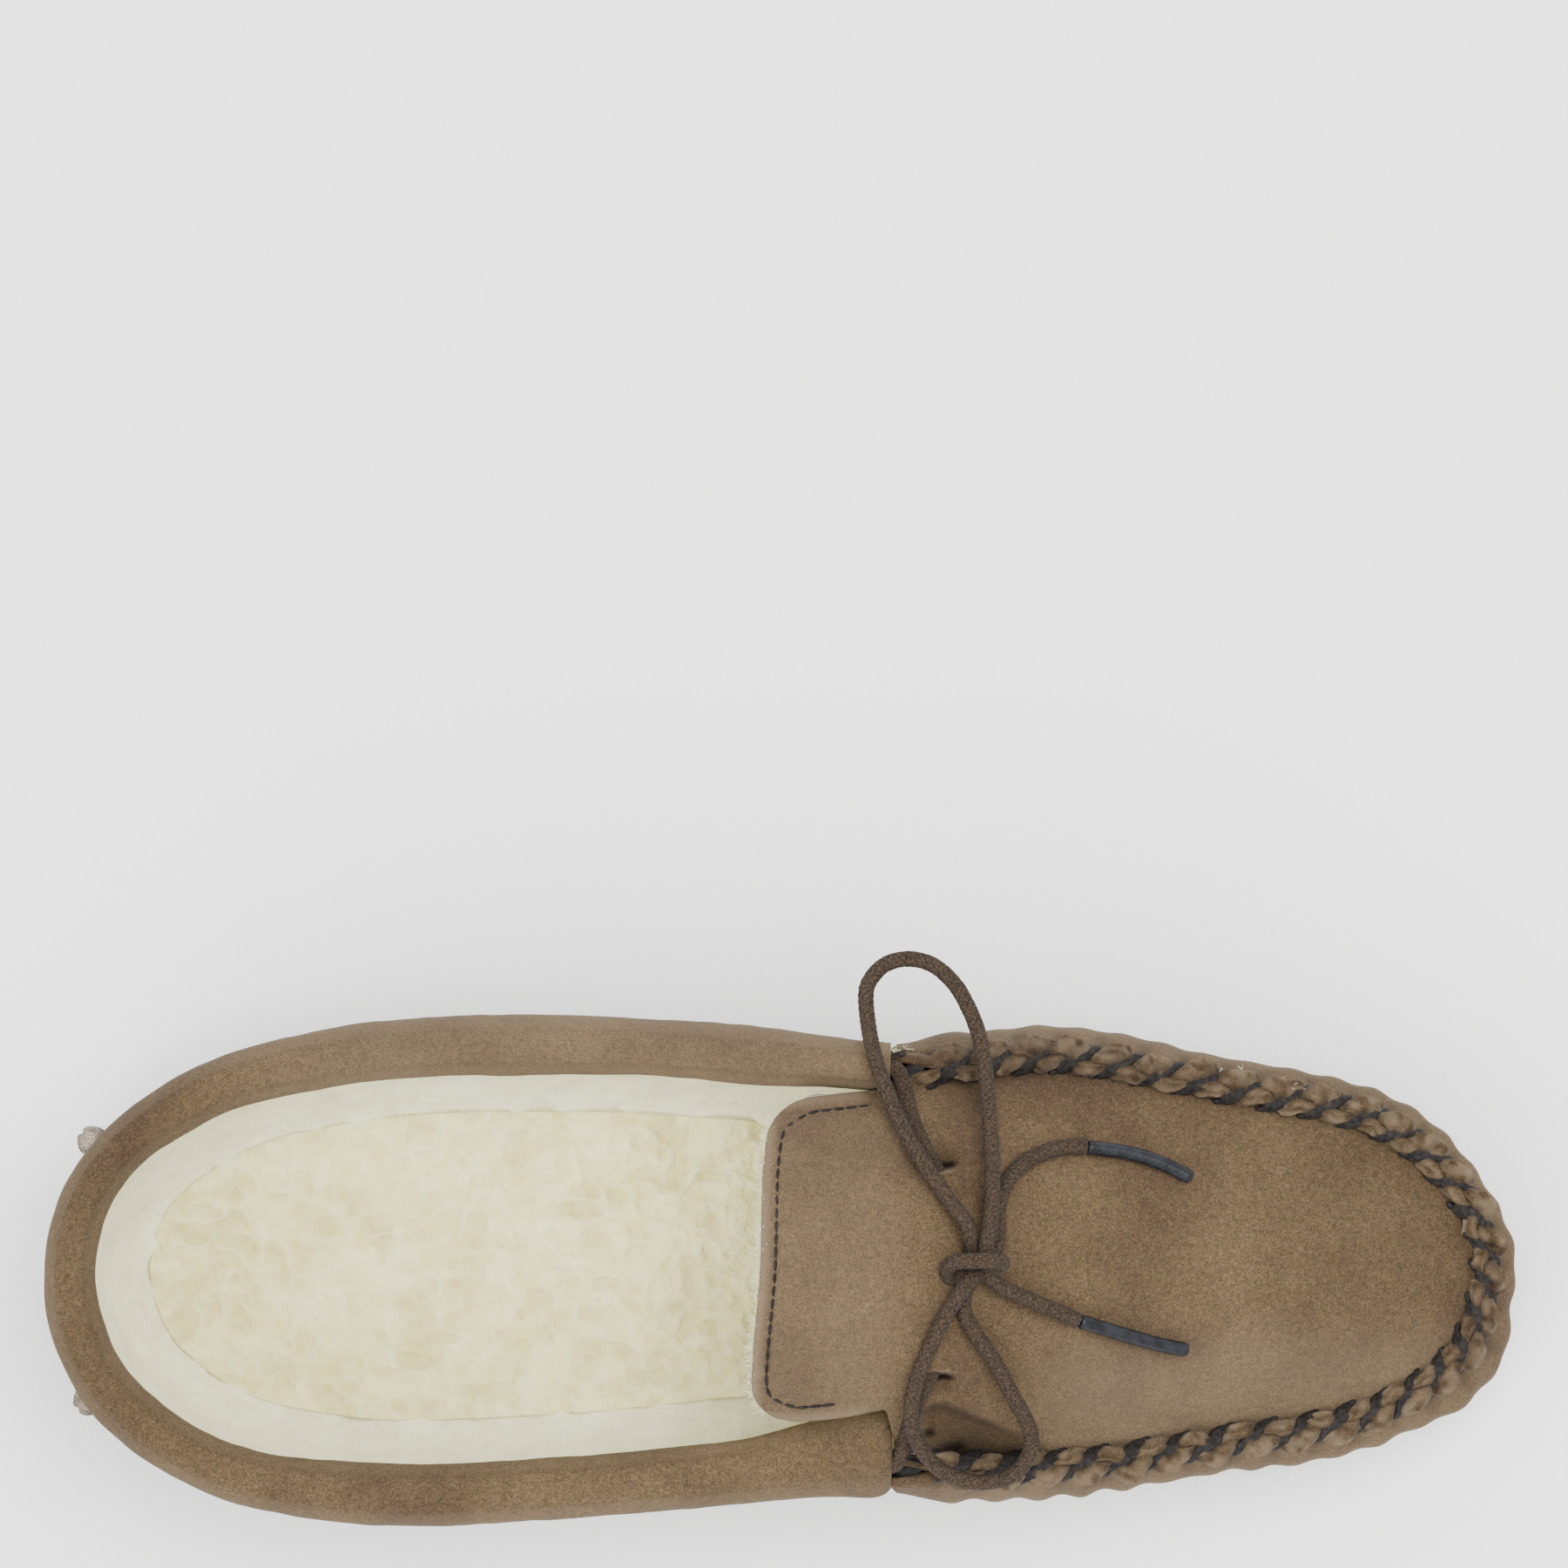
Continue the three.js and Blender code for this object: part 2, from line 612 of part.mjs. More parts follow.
// A sheet under the upper face, from x to the toe, between the two sides at an inset.
function panel(from, insetOf, drop, thickness) {
  const tip = tipX(insetOf(LENGTH / 2)) - PANEL_TIP;
  const grid = Array.from({ length: PANEL_ROWS + 1 }, (_, i) => {
    const x = lerp(from, tip, Math.sin(((i / PANEL_ROWS) * Math.PI) / 2));
    const { middle, half } = apronSpan(x, insetOf(x));
    return Array.from({ length: PANEL_COLUMNS + 1 }, (_, j) => {
      const y = middle + half * (1 - (2 * j) / PANEL_COLUMNS);
      return new THREE.Vector3(x, y, upperZ(x, y) - drop(x));
    });
  });
  return sheet(grid, lowered(grid, thickness));
}

function lowered(grid, by) {
  return grid.map((row) => row.map((p) => new THREE.Vector3(p.x, p.y, p.z - by)));
}

// The apron's edge, turned up against the gathered edge of the wrap.
function apronEdge() {
  const rows = aroundToe(THROAT_X + APRON_EDGE_START).map((s) => {
    const inner = ridgeInset(s.x);
    const top = wallTop(s.x);
    const foot = top - RIDGE_HEIGHT - APRON_EDGE_DEEPER;
    const outer = inner + APRON_EDGE;
    return [[inner, foot], [inner, top], [outer, top], [outer, foot]].map(([i, z]) => place(s, i, z));
  });
  return skin(rows, () => [[0, 0], [0, 1], [1, 1], [1, 0]].map(([a, b]) => new THREE.Vector2(a, b)));
}

// The fleece under the apron, lower where the lace runs between the two.
function apronLining() {
  const room = LACE + 3 * GAP;
  const below = (x) => SUEDE + GAP + room * (1 - ease(x, LACE_ROOM_END - LACE_ROOM_BLEND, LACE_ROOM_END));
  const insetOf = (x) => ridgeInset(x) + GAP + FLEECE_WALL + GAP;
  return panel(THROAT_X + APRON_LINING_START, insetOf, below, FLEECE_APRON);
}

function collarInnerY(x, side) {
  const s = station(fractionAt(x, side));
  return s.y - s.ny * collarWidth(s);
}

// The tongue's two sides at x: its own width, or what the collar leaves beside it.
function tongueSides(x) {
  const lateral = Math.min(TONGUE_CENTRE_Y + TONGUE_HALF_WIDTH, collarInnerY(x, 1) - TONGUE_SIDE_GAP);
  const medial = Math.max(TONGUE_CENTRE_Y - TONGUE_HALF_WIDTH, collarInnerY(x, -1) + TONGUE_SIDE_GAP);
  return { lateral, medial };
}

// A point of the tongue: along from the throat (0) to the back edge (1), across from the
// lateral side (0) to the medial side (1), its corners rounded.
function tonguePoint(along, across, hem = 0) {
  const t = Math.abs(2 * across - 1);
  const round = Math.max(0, 1 - (1 - t) / TONGUE_CORNER_SHARE);
  const front = THROAT_X - GAP;
  const back = THROAT_X - TONGUE_LENGTH + hem + TONGUE_CORNER * (1 - Math.sqrt(1 - round * round));
  const x = lerp(front, back, along);
  const { lateral, medial } = tongueSides(x);
  return new THREE.Vector3(x, lerp(lateral - hem, medial + hem, across), 0);
}

function tongueSheet(drop, thickness) {
  const grid = Array.from({ length: TONGUE_ROWS + 1 }, (_, i) =>
    Array.from({ length: TONGUE_COLUMNS + 1 }, (_, j) => {
      const p = tonguePoint(i / TONGUE_ROWS, j / TONGUE_COLUMNS);
      p.z = upperZ(p.x, p.y) - drop;
      return p;
    }),
  );
  return sheet(grid, lowered(grid, thickness));
}

// ---------------------------------------------------------------- threads

// One thread that winds round the two gathered edges, through both, once in each pitch.
function whipThread(extra = 0) {
  const from = fractionAt(THROAT_X + WHIP_START, 1);
  const to = fractionAt(THROAT_X + WHIP_START, -1);
  const turns = Math.round(((to - from) * outlineCurve.getLength()) / WHIP_PITCH);
  const reach = WRAP_EDGE + WHIP_THREAD / 2 + GAP;
  const above = WHIP_THREAD / 2 + GAP;
  const corners = [[-reach, -WHIP_OUTSIDE], [-reach, above], [reach, above], [reach, -WHIP_INSIDE]];
  const count = turns * corners.length;
  const points = Array.from({ length: count }, (_, i) => {
    const s = station(lerp(from, to, i / count));
    const [side, up] = corners[i % corners.length];
    return place(s, ridgeInset(s.x) - GAP / 2 + side, wallTop(s.x) + up);
  });
  return tube(new CornerPath(points), WHIP_THREAD + 2 * extra, points.length - 1, WHIP_SIDES);
}

// The tongue's lockstitch lies on the suede, one hem's width inside the edge.
function hemThread() {
  const count = TONGUE_COLUMNS + 2;
  const sides = [HEM_START, (1 + HEM_START) / 2, 1];
  const line = [
    ...sides.map((along) => tonguePoint(along, 0, TONGUE_HEM)),
    ...Array.from({ length: count - 1 }, (_, i) => tonguePoint(1, (i + 1) / count, TONGUE_HEM)),
    ...sides.toReversed().map((along) => tonguePoint(along, 1, TONGUE_HEM)),
  ];
  for (const p of line) p.z = upperZ(p.x, p.y) + HEM_LIFT;
  return tube(smoothPath(line), HEM_THREAD, HEM_STEPS, 6);
}

// A short tack from the collar's fold to the start of the ridge.
function collarTack(side) {
  const at = (x) => station(fractionAt(x, side));
  const stitch = (s, height) => place(s, COLLAR_WIDTH_LATERAL_END / 2, height);
  const [behind, over, ahead] = [at(THROAT_X - TACK_BACK), at(THROAT_X), at(THROAT_X + TACK_AHEAD)];
  const lift = TACK_THREAD / 2 + GAP;
  return tube(smoothPath([
    stitch(behind, collarTop(behind) + lift),
    stitch(over, collarTop(over) + lift),
    stitch(ahead, wallTop(ahead.x) + lift),
  ]), TACK_THREAD, 6, 6);
}

// ---------------------------------------------------------------- lace

function laceTube(route, diameter = LACE) {
  const path = smoothPath(route.map((p) => new THREE.Vector3(...p)));
  return tube(path, diameter, Math.max(3, Math.round(path.getLength() / CORD_STEP)), CORD_SIDES);
}

// The lace inside the collar, under its fold and on top of the wall.
function laceInCollar() {
  const points = aroundHeel(THROAT_X - COLLAR_END_GAP - LEAD_START).map((s) => {
    const inset = Math.min(collarWidth(s) / 2, COLLAR_WIDTH_SIDE / 2);
    return place(s, inset, wallTop(s.x) + GAP + LACE / 2);
  });
  return tube(new CornerPath(points), LACE, points.length - 1, CORD_SIDES);
}

function knot() {
  return new THREE.SphereGeometry(1, 12, 8).scale(...KNOT_HALF).translate(...KNOT_CENTRE);
}

// ---------------------------------------------------------------- build

const tub = suedeTub();
add('rubber_outsole', outsole(), RUBBER_COLOR, 0.8);
add('suede_wrap', cut(tub, heelWindow(GAP), whipThread(GAP)), SUEDE_COLOR, 0.95);
add('heel_panel', common(tub, heelWindow(0)), SUEDE_COLOR, 0.95);
add('heel_seam_lateral', heelSeam(1), SUEDE_COLOR, 0.95);
add('heel_seam_medial', heelSeam(-1), SUEDE_COLOR, 0.95);
add('insole_foam', slab(FOAM_INSET, suedeFloorTop + GAP, foamTop), FOAM_COLOR, 0.9);
add('fleece_sock', slab(SOCK_INSET, foamTop + GAP, sockTop), FLEECE_COLOR, 1);
add('fleece_wall_lining', wallLining(), FLEECE_COLOR, 1);
add('collar', collar(), SUEDE_COLOR, 0.95);

const apronSheet = panel(THROAT_X, (x) => ridgeInset(x) + APRON_EDGE / 2, () => 0, SUEDE);
const slits = SLITS.map((centre) => boxAt(centre, SLIT));
const leadWays = [LEAD_LATERAL, LEAD_MEDIAL].map((route) => laceTube(route, LACE + 2 * GAP));
const apron = cut(join(apronSheet, apronEdge()), whipThread(GAP), ...slits, ...leadWays);
add('apron', apron, SUEDE_COLOR, 0.95);
add('fleece_apron_lining', apronLining(), FLEECE_COLOR, 1);
add('tongue', tongueSheet(0, SUEDE), SUEDE_COLOR, 0.95);
add('fleece_tongue_lining', tongueSheet(SUEDE + GAP, FLEECE_APRON), FLEECE_COLOR, 1);
add('tongue_hem_stitch', hemThread(), THREAD_COLOR, 0.7);
add('whip_thread', whipThread(), THREAD_COLOR, 0.7);
add('collar_tack_lateral', collarTack(1), THREAD_COLOR, 0.7);
add('collar_tack_medial', collarTack(-1), THREAD_COLOR, 0.7);

add('lace_in_collar', laceInCollar(), LACE_COLOR, 0.85);
add('lace_lead_lateral', laceTube(LEAD_LATERAL), LACE_COLOR, 0.85);
add('lace_lead_medial', laceTube(LEAD_MEDIAL), LACE_COLOR, 0.85);
add('lace_loop_lateral', laceTube(LOOP_LATERAL), LACE_COLOR, 0.85);
add('lace_loop_medial', laceTube(LOOP_MEDIAL), LACE_COLOR, 0.85);
add('lace_tail_lateral', laceTube(TAIL_LATERAL), LACE_COLOR, 0.85);
add('lace_tail_medial', laceTube(TAIL_MEDIAL), LACE_COLOR, 0.85);
add('bow_knot', knot(), LACE_COLOR, 0.85);
add('aglet_lateral', laceTube(AGLET_LATERAL, AGLET), AGLET_COLOR, 0.4);
add('aglet_medial', laceTube(AGLET_MEDIAL, AGLET), AGLET_COLOR, 0.4);

export default group;
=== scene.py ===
"""A sheepskin-lined suede moccasin for the left foot: shapes are worked out in millimetres
on numpy grids and put into meshes in metres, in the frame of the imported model."""
import itertools
import bmesh
import bpy
import numpy as np
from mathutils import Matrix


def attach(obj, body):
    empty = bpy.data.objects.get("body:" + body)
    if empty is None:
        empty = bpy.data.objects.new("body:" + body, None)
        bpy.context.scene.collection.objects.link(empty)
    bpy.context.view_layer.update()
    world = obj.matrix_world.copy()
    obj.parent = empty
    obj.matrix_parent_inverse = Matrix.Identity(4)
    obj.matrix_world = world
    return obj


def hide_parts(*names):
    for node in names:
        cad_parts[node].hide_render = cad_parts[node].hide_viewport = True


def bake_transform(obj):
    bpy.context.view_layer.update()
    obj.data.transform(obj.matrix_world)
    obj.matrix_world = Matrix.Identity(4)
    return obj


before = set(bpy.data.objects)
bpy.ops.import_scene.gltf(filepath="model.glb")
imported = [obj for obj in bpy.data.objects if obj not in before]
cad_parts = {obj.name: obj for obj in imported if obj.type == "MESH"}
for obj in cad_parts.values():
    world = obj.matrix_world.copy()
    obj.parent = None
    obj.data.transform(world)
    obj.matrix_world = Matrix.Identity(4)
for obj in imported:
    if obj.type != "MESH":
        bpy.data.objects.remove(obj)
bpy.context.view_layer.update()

# ---------------------------------------------------------------- camera, light and floor
# The shoe is seen from straight above, heel to the left, through a long lens. It lies on a
# pale studio table under one large soft light, with a paler fill all round.
MM = 0.001
FRAME_WIDTH = 306 * MM
CAMERA_HEIGHT = 3.0
MIDDLE_HEIGHT = 45 * MM
SENSOR = 36

camera_data = bpy.data.cameras.new("camera")
camera_data.sensor_width = SENSOR
camera_data.lens = SENSOR * (CAMERA_HEIGHT - MIDDLE_HEIGHT) / FRAME_WIDTH
camera_data.clip_end = 20
camera = bpy.data.objects.new("camera", camera_data)
camera.location = (0, 95.2 * MM, CAMERA_HEIGHT)
bpy.context.collection.objects.link(camera)
bpy.context.scene.camera = camera


def linear(hex_colour):
    """sRGB hex to linear light: c/12.92 below 0.04045, else ((c+0.055)/1.055)^2.4."""
    c = np.array([int(hex_colour[i : i + 2], 16) for i in (1, 3, 5)]) / 255
    return (*np.where(c < 0.04045, c / 12.92, ((c + 0.055) / 1.055) ** 2.4), 1.0)


def new_material(name, **shader_values):
    """A material, its tree and its Principled shader with the given socket values."""
    material = bpy.data.materials.new(name)
    material.use_nodes = True
    tree = material.node_tree
    shader = tree.nodes["Principled BSDF"]
    for key, value in shader_values.items():
        shader.inputs[key.replace("_", " ")].default_value = value
    return material, tree, shader


def area_light(name, place, size, watts):
    """A round area light that faces the origin."""
    data = bpy.data.lights.new(name, "AREA")
    data.shape, data.size, data.energy = "DISK", size, watts
    light = bpy.data.objects.new(name, data)
    light.location = place
    yaw = np.arctan2(-place[1], -place[0])
    tilt = np.arccos(place[2] / np.linalg.norm(place))
    light.rotation_euler = (tilt, 0, yaw - np.pi / 2)
    bpy.context.collection.objects.link(light)


area_light("key", (0.35, 0.3, 1.7), 1.2, 40)
area_light("fill", (-0.9, -0.8, 1.3), 1.6, 28)
world = bpy.data.worlds.new("studio")
world.use_nodes = True
world.node_tree.nodes["Background"].inputs["Color"].default_value = (1, 1, 1, 1)
world.node_tree.nodes["Background"].inputs["Strength"].default_value = 1.55
bpy.context.scene.world = world

table_finish, _, _ = new_material("painted_table", Base_Color=linear("#fcfcfb"), Roughness=0.9)
floor = bpy.data.objects.new("floor", bpy.data.meshes.new("floor"))
floor.data.from_pydata([(-6, -6, 0), (6, -6, 0), (6, 6, 0), (-6, 6, 0)], [], [(0, 1, 2, 3)])
floor.data.materials.append(table_finish)
bpy.context.collection.objects.link(floor)

# ---------------------------------------------------------------- lace
# One round braided cotton cord. Each half leaves the end of the collar's channel, goes down
# through a slit in the apron, comes up under the knot, makes a loop and ends in a tail.
LACE = 3.2
LACE_HOLLOW = 0.24  # depth of the grooves between the braid's strands
BRAID_STRANDS = 6
BRAID_PITCH = 2.6
RING_STEP = 0.3
LEAD_LATERAL = [
    (19.8, 40.3, 57.1), (21.9, 39.7, 57.5), (23.4, 36.2, 58.6), (24.6, 31, 61.3), (26.4, 26.4, 64.8),
    (28.2, 22.8, 66.7), (29.6, 20.2, 65.4), (31.2, 17, 62.9), (33.2, 12, 64.1), (35, 7.6, 65.8),
    (36, 4.9, 68.2),
]
LEAD_MEDIAL = [
    (19.9, -37.5, 57.2), (21.6, -37, 57.5), (23.1, -33.9, 58.9), (24.2, -29.6, 61.3), (25.6, -25, 64.8),
    (27.2, -21.6, 66.4), (28.6, -18.9, 65.4), (30, -15.6, 62.9), (32.4, -10.6, 64.3), (35, -3, 65.5),
    (36.4, 0.6, 68.3),
]
LOOP_LATERAL = [
    (35.4, 10, 73), (32, 14.6, 71.6), (26.6, 22.4, 70), (22.7, 29.2, 67.4), (18.8, 38.5, 65),
    (16.9, 45.3, 63), (15.9, 54.1, 60.2), (16.4, 56.5, 59.6), (19.3, 59.9, 58.6), (23.7, 61.2, 58),
    (28.6, 60.2, 57.8), (33, 56.5, 58), (35.9, 51.6, 58.4), (37.9, 46.3, 58.9), (39.1, 39.4, 60.2),
    (39.8, 31.6, 62.6), (40.3, 23.3, 66.4), (40.3, 16, 70), (39.9, 10, 72.4),
]
LOOP_MEDIAL = [
    (34.7, -2.2, 73.4), (32.8, -5, 73.1), (30.1, -9.6, 72.3), (27.9, -14.4, 71.2), (25.9, -19.4, 70.2),
    (24.7, -24.6, 68.9), (24.9, -29.8, 66.2), (27.1, -34.5, 62.8), (30.5, -38, 60.4),
    (34.9, -40, 59.2), (39.6, -40.4, 58.2), (44, -39.3, 57.6), (47, -36.3, 57.6),
    (48.1, -31.9, 58.4), (46.8, -28, 59.8), (44.4, -23.6, 62.4), (40.8, -16.8, 65.8),
    (37.3, -11.6, 68.4), (35.2, -8, 69.6), (34.7, -4.8, 70),
]
TAIL_LATERAL = [
    (41.5, 9.5, 68.6), (41.5, 12.6, 67.4), (42.8, 17.4, 65.1), (46.4, 21.5, 62), (51.2, 23.9, 59.1),
    (56.4, 24.8, 56.8), (58.6, 24.7, 56),
]
TAIL_MEDIAL = [(42.6, -2.4, 68), (48.3, -5.1, 65.2), (53.4, -7.3, 62.6), (57, -9, 60.8)]
# Inside the knot: from the hole up into the loop, and from the loop down into the tail. The
# medial half also makes the band that goes over the top of the knot.
RISE_LATERAL = [(36.4, 4.2, 70), (36.2, 6.6, 72)]
RETURN_LATERAL = [(39.2, 6.2, 73), (39.1, 3, 72.3), (40.6, 4.2, 70.2), (41.4, 7, 69.2)]
RISE_MEDIAL = [
    (35.2, 0.4, 69.8), (32.2, -0.4, 70.4), (31.6, 1.4, 72.6), (33, 2.8, 74.6), (36.8, 3.1, 75.6),
    (40.4, 3.1, 74.8), (42.2, 2.6, 72.4), (40.8, 1.6, 70.4), (37.2, 1.4, 70.2), (36.4, 0, 72.2),
]
RETURN_MEDIAL = [(35.4, -2, 70.2), (37, 0.2, 70.4), (38.8, 0.3, 69.8), (40.6, -1, 69)]


def curve_through(points, step, closed=False):
    """Centripetal Catmull-Rom curve through the points, as points about step apart: each span
    is the cubic whose end slopes come from its neighbours, with square-root spacing."""
    p = np.array(points, float)
    if closed:
        p = np.vstack([p[-1:], p, p[:2]])
    else:
        p = np.vstack([2 * p[0] - p[1], p, 2 * p[-1] - p[-2]])
    p0, p1, p2, p3 = p[:-3], p[1:-2], p[2:-1], p[3:]
    spans = (p1 - p0, p2 - p1, p3 - p2)
    d0, d1, d2 = [np.sqrt(np.linalg.norm(span, axis=1))[:, None] for span in spans]
    m1 = d1 * ((p1 - p0) / d0 - (p2 - p0) / (d0 + d1) + (p2 - p1) / d1)
    m2 = d1 * ((p2 - p1) / d1 - (p3 - p1) / (d1 + d2) + (p3 - p2) / d2)
    t = np.linspace(0, 1, 60, endpoint=False)[None, :, None]
    p1, p2, m1, m2 = [v[:, None] for v in (p1, p2, m1, m2)]
    line = (2 * t**3 - 3 * t**2 + 1) * p1 + (t**3 - 2 * t**2 + t) * m1
    line = (line + (3 * t**2 - 2 * t**3) * p2 + (t**3 - t**2) * m2).reshape(-1, p.shape[1])
    line = np.vstack([line, p[1] if closed else p[-2]])
    run = np.concatenate([[0], np.cumsum(np.linalg.norm(np.diff(line, axis=0), axis=1))])
    at = np.linspace(0, run[-1], max(4, int(round(run[-1] / step))) + 1)
    return np.stack([np.interp(at, run, line[:, k]) for k in range(line.shape[1])], 1)


def frames_along(line):
    """Unit tangent and two unit normals at each point, the normals carried along the line
    without twist: each is the last one less its part along the new tangent."""
    tangent = np.gradient(line, axis=0)
    tangent /= np.linalg.norm(tangent, axis=1)[:, None]
    normal = np.empty_like(tangent)
    last = np.cross(tangent[0], (0.31, 0.17, 0.93))
    for i, t in enumerate(tangent):
        last = last - t * (last @ t)
        last /= np.linalg.norm(last)
        normal[i] = last
    return tangent, normal, np.cross(tangent, normal)


def grid_faces(rows, columns, close_rows=False, close_columns=False):
    """Quads of a grid of points numbered row by row."""
    r = np.arange(rows if close_rows else rows - 1)[:, None]
    c = np.arange(columns if close_columns else columns - 1)[None, :]
    r2, c2 = (r + 1) % rows, (c + 1) % columns
    corners = (r * columns + c, r * columns + c2, r2 * columns + c2, r2 * columns + c)
    return np.stack([corner.ravel() for corner in corners], 1)


def make_piece(name, shapes, material, body=None, replaced=(), attributes=None, weld=False):
    """One mesh object from shapes, each its points in mm and its arrays of faces; the faces
    are turned outward. It rides on its body and takes the place of CAD nodes."""
    points = np.vstack([shape[0] for shape in shapes]) * MM
    offsets = np.cumsum([0] + [len(shape[0]) for shape in shapes])
    polygons = [f + offset for (_, faces), offset in zip(shapes, offsets) for f in faces]
    corners = np.concatenate([f.ravel() for f in polygons])
    sizes = np.concatenate([np.full(len(f), f.shape[1]) for f in polygons])
    mesh = bpy.data.meshes.new(name)
    mesh.vertices.add(len(points))
    mesh.vertices.foreach_set("co", points.ravel())
    mesh.loops.add(len(corners))
    mesh.loops.foreach_set("vertex_index", corners.astype(np.int32))
    mesh.polygons.add(len(sizes))
    mesh.polygons.foreach_set("loop_start", (np.cumsum(sizes) - sizes).astype(np.int32))
    mesh.update(calc_edges=True)
    mesh.validate()
    for key, value in (attributes or {}).items():
        layer = mesh.attributes.new(key, "FLOAT", "POINT")
        layer.data.foreach_set("value", np.asarray(value, np.float32).ravel())
    mesh.polygons.foreach_set("use_smooth", np.ones(len(mesh.polygons), bool))
    mesh.materials.append(material)
    turned = bmesh.new()
    turned.from_mesh(mesh)
    if weld:
        bmesh.ops.remove_doubles(turned, verts=turned.verts, dist=0.001 * MM)
    bmesh.ops.recalc_face_normals(turned, faces=turned.faces)
    turned.to_mesh(mesh)
    turned.free()
    piece = bpy.data.objects.new(name, mesh)
    bpy.context.collection.objects.link(piece)
    if body:
        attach(piece, body)
    if replaced:
        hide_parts(*replaced)
    return piece


def ring_shape(rows, last_closed=True, middles=None):
    """Closed rings of points joined by quads, the first and the last ring each closed by a fan
    to its middle."""
    count, columns = rows.shape[:2]
    first, last = middles or (rows[:1].mean(1), rows[-1:].mean(1))
    ring = np.arange(columns)
    after = (ring + 1) % columns
    top = (count - 1) * columns
    low = np.stack([np.full(columns, count * columns), after, ring], 1)
    high = np.stack([np.full(columns, count * columns + 1), top + ring, top + after], 1)
    points = np.vstack([rows.reshape(-1, 3), first, last])
    faces = [grid_faces(count, columns, close_columns=True), low, high]
    return (points, faces) if last_closed else (points[:-1], faces[:2])


def tube_shape(line, sides, radius_at):
    """Round tube: point = line + radius_at(angle, distance) * (normal cos + side sin), with
    each end closed by a fan to its own middle."""
    _, normal, side = frames_along(line)
    run = np.concatenate([[0], np.cumsum(np.linalg.norm(np.diff(line, axis=0), axis=1))])
    angle = np.arange(sides) / sides * 2 * np.pi
    radius = radius_at(angle[None, :], run[:, None]) * np.ones((len(line), sides))
    turn = angle[None, :, None]
    around = normal[:, None] * np.cos(turn) + side[:, None] * np.sin(turn)
    return ring_shape(line[:, None] + around * radius[..., None], middles=(line[:1], line[-1:]))


def braid_radius(angle, run):
    """Braid: strands wind both ways; where a strand of one way lies on top, the radius is
    highest along its middle, and the two ways take turns like a checkerboard."""
    left = angle / (2 * np.pi) * BRAID_STRANDS + run / BRAID_PITCH * 2
    right = angle / (2 * np.pi) * BRAID_STRANDS - run / BRAID_PITCH * 2
    left_on_top = (np.floor(left) + np.floor(right)) % 2 < 1
    height = np.where(left_on_top, np.sin(np.pi * (left % 1)), np.sin(np.pi * (right % 1)))
    return LACE / 2 - LACE_HOLLOW * (1 - np.abs(height) ** 0.6)


def per(size):
    """Cells to a metre in a pattern whose cells are so many millimetres wide."""
    return 1 / (size * MM)


def add_node(tree, kind, settings=None, **inputs):
    """A node with its settings (stops: a ramp's places and colours), and its inputs set or
    linked: they are named with _ for spaces, or i and their number."""
    made = tree.nodes.new("ShaderNode" + kind)
    for key, value in (settings or {}).items():
        if key != "stops":
            setattr(made, key, value)
            continue
        ramp = made.color_ramp.elements
        for _ in value[2:]:
            ramp.new(0.5)
        for stop, (place, colour) in zip(ramp, value):
            stop.position, stop.color = place, colour
    for key, value in inputs.items():
        numbered = key[0] == "i" and key[1:].isdigit()
        socket = made.inputs[int(key[1:]) if numbered else key.replace("_", " ")]
        if isinstance(value, bpy.types.NodeSocket):
            tree.links.new(value, socket)
        else:
            socket.default_value = value
    return made


def colour_and_relief(tree, shader, colour, height, strength, depth):
    """Links a colour to the shader, and a bump of that strength and depth from a height."""
    bump = add_node(tree, "Bump", Height=height, Strength=strength, Distance=depth)
    tree.links.new(colour, shader.inputs["Base Color"])
    tree.links.new(bump.outputs[0], shader.inputs["Normal"])


# Dark brown cotton, matt: a speckle of fibres, with painted shade in the braid's grooves and down the
# cord's sides.
MULTIPLY = {"data_type": "RGBA", "blend_type": "MULTIPLY"}
cord_finish, tree, shader = new_material(
    "braided_cotton", Roughness=0.9, Specular_IOR_Level=0.2, Sheen_Weight=0.02,
)
where = add_node(tree, "TexCoord").outputs["Object"]
fibre = add_node(tree, "TexNoise", Vector=where, Scale=per(0.385), Detail=3)
colour = add_node(
    tree, "ValToRGB", {"stops": [(0.33, linear("#1c150f")), (0.72, linear("#4c3e31"))]},
    Fac=fibre.outputs["Fac"],
)
hollow = add_node(tree, "Attribute", {"attribute_name": "hollow"})
shaded_cord = add_node(
    tree, "Mix", MULTIPLY, i0=hollow.outputs["Fac"], i6=colour.outputs[0], i7=(0.42, 0.4, 0.38, 1),
)
colour_and_relief(tree, shader, shaded_cord.outputs[2], fibre.outputs["Fac"], 0.5, 0.2 * MM)

CORD_SIDES = 24
laces = {}
for side, points in {
    "lateral": LEAD_LATERAL + RISE_LATERAL + LOOP_LATERAL + RETURN_LATERAL + TAIL_LATERAL,
    "medial": LEAD_MEDIAL + RISE_MEDIAL + LOOP_MEDIAL + RETURN_MEDIAL + TAIL_MEDIAL,
}.items():
    route = curve_through(points, RING_STEP)
    nodes = [f"lace_lead_{side}", f"lace_loop_{side}", f"lace_tail_{side}"]
    if side == "medial":
        nodes.append("bow_knot")
    shape = tube_shape(route, CORD_SIDES, braid_radius)
    around = shape[0][:-2].reshape(len(route), CORD_SIDES, 3) - route[:, None]
    radius = np.linalg.norm(around, axis=-1)
    # Painted shade: darker down the cord's sides and underside and in the braid's grooves, carried in the
    # hollow attribute.
    painted_side_shade = 0.5 * (1 - np.clip(around[..., 2] / radius, 0, 1)) ** 2
    hollow = np.minimum(1, (LACE / 2 - radius) / LACE_HOLLOW + painted_side_shade)
    hollow = np.append(hollow, [0.5, 0.5])
    cord = make_piece(f"lace_{side}", [shape], cord_finish, "shoe", nodes, {"hollow": hollow})
    laces[side] = (cord, route)

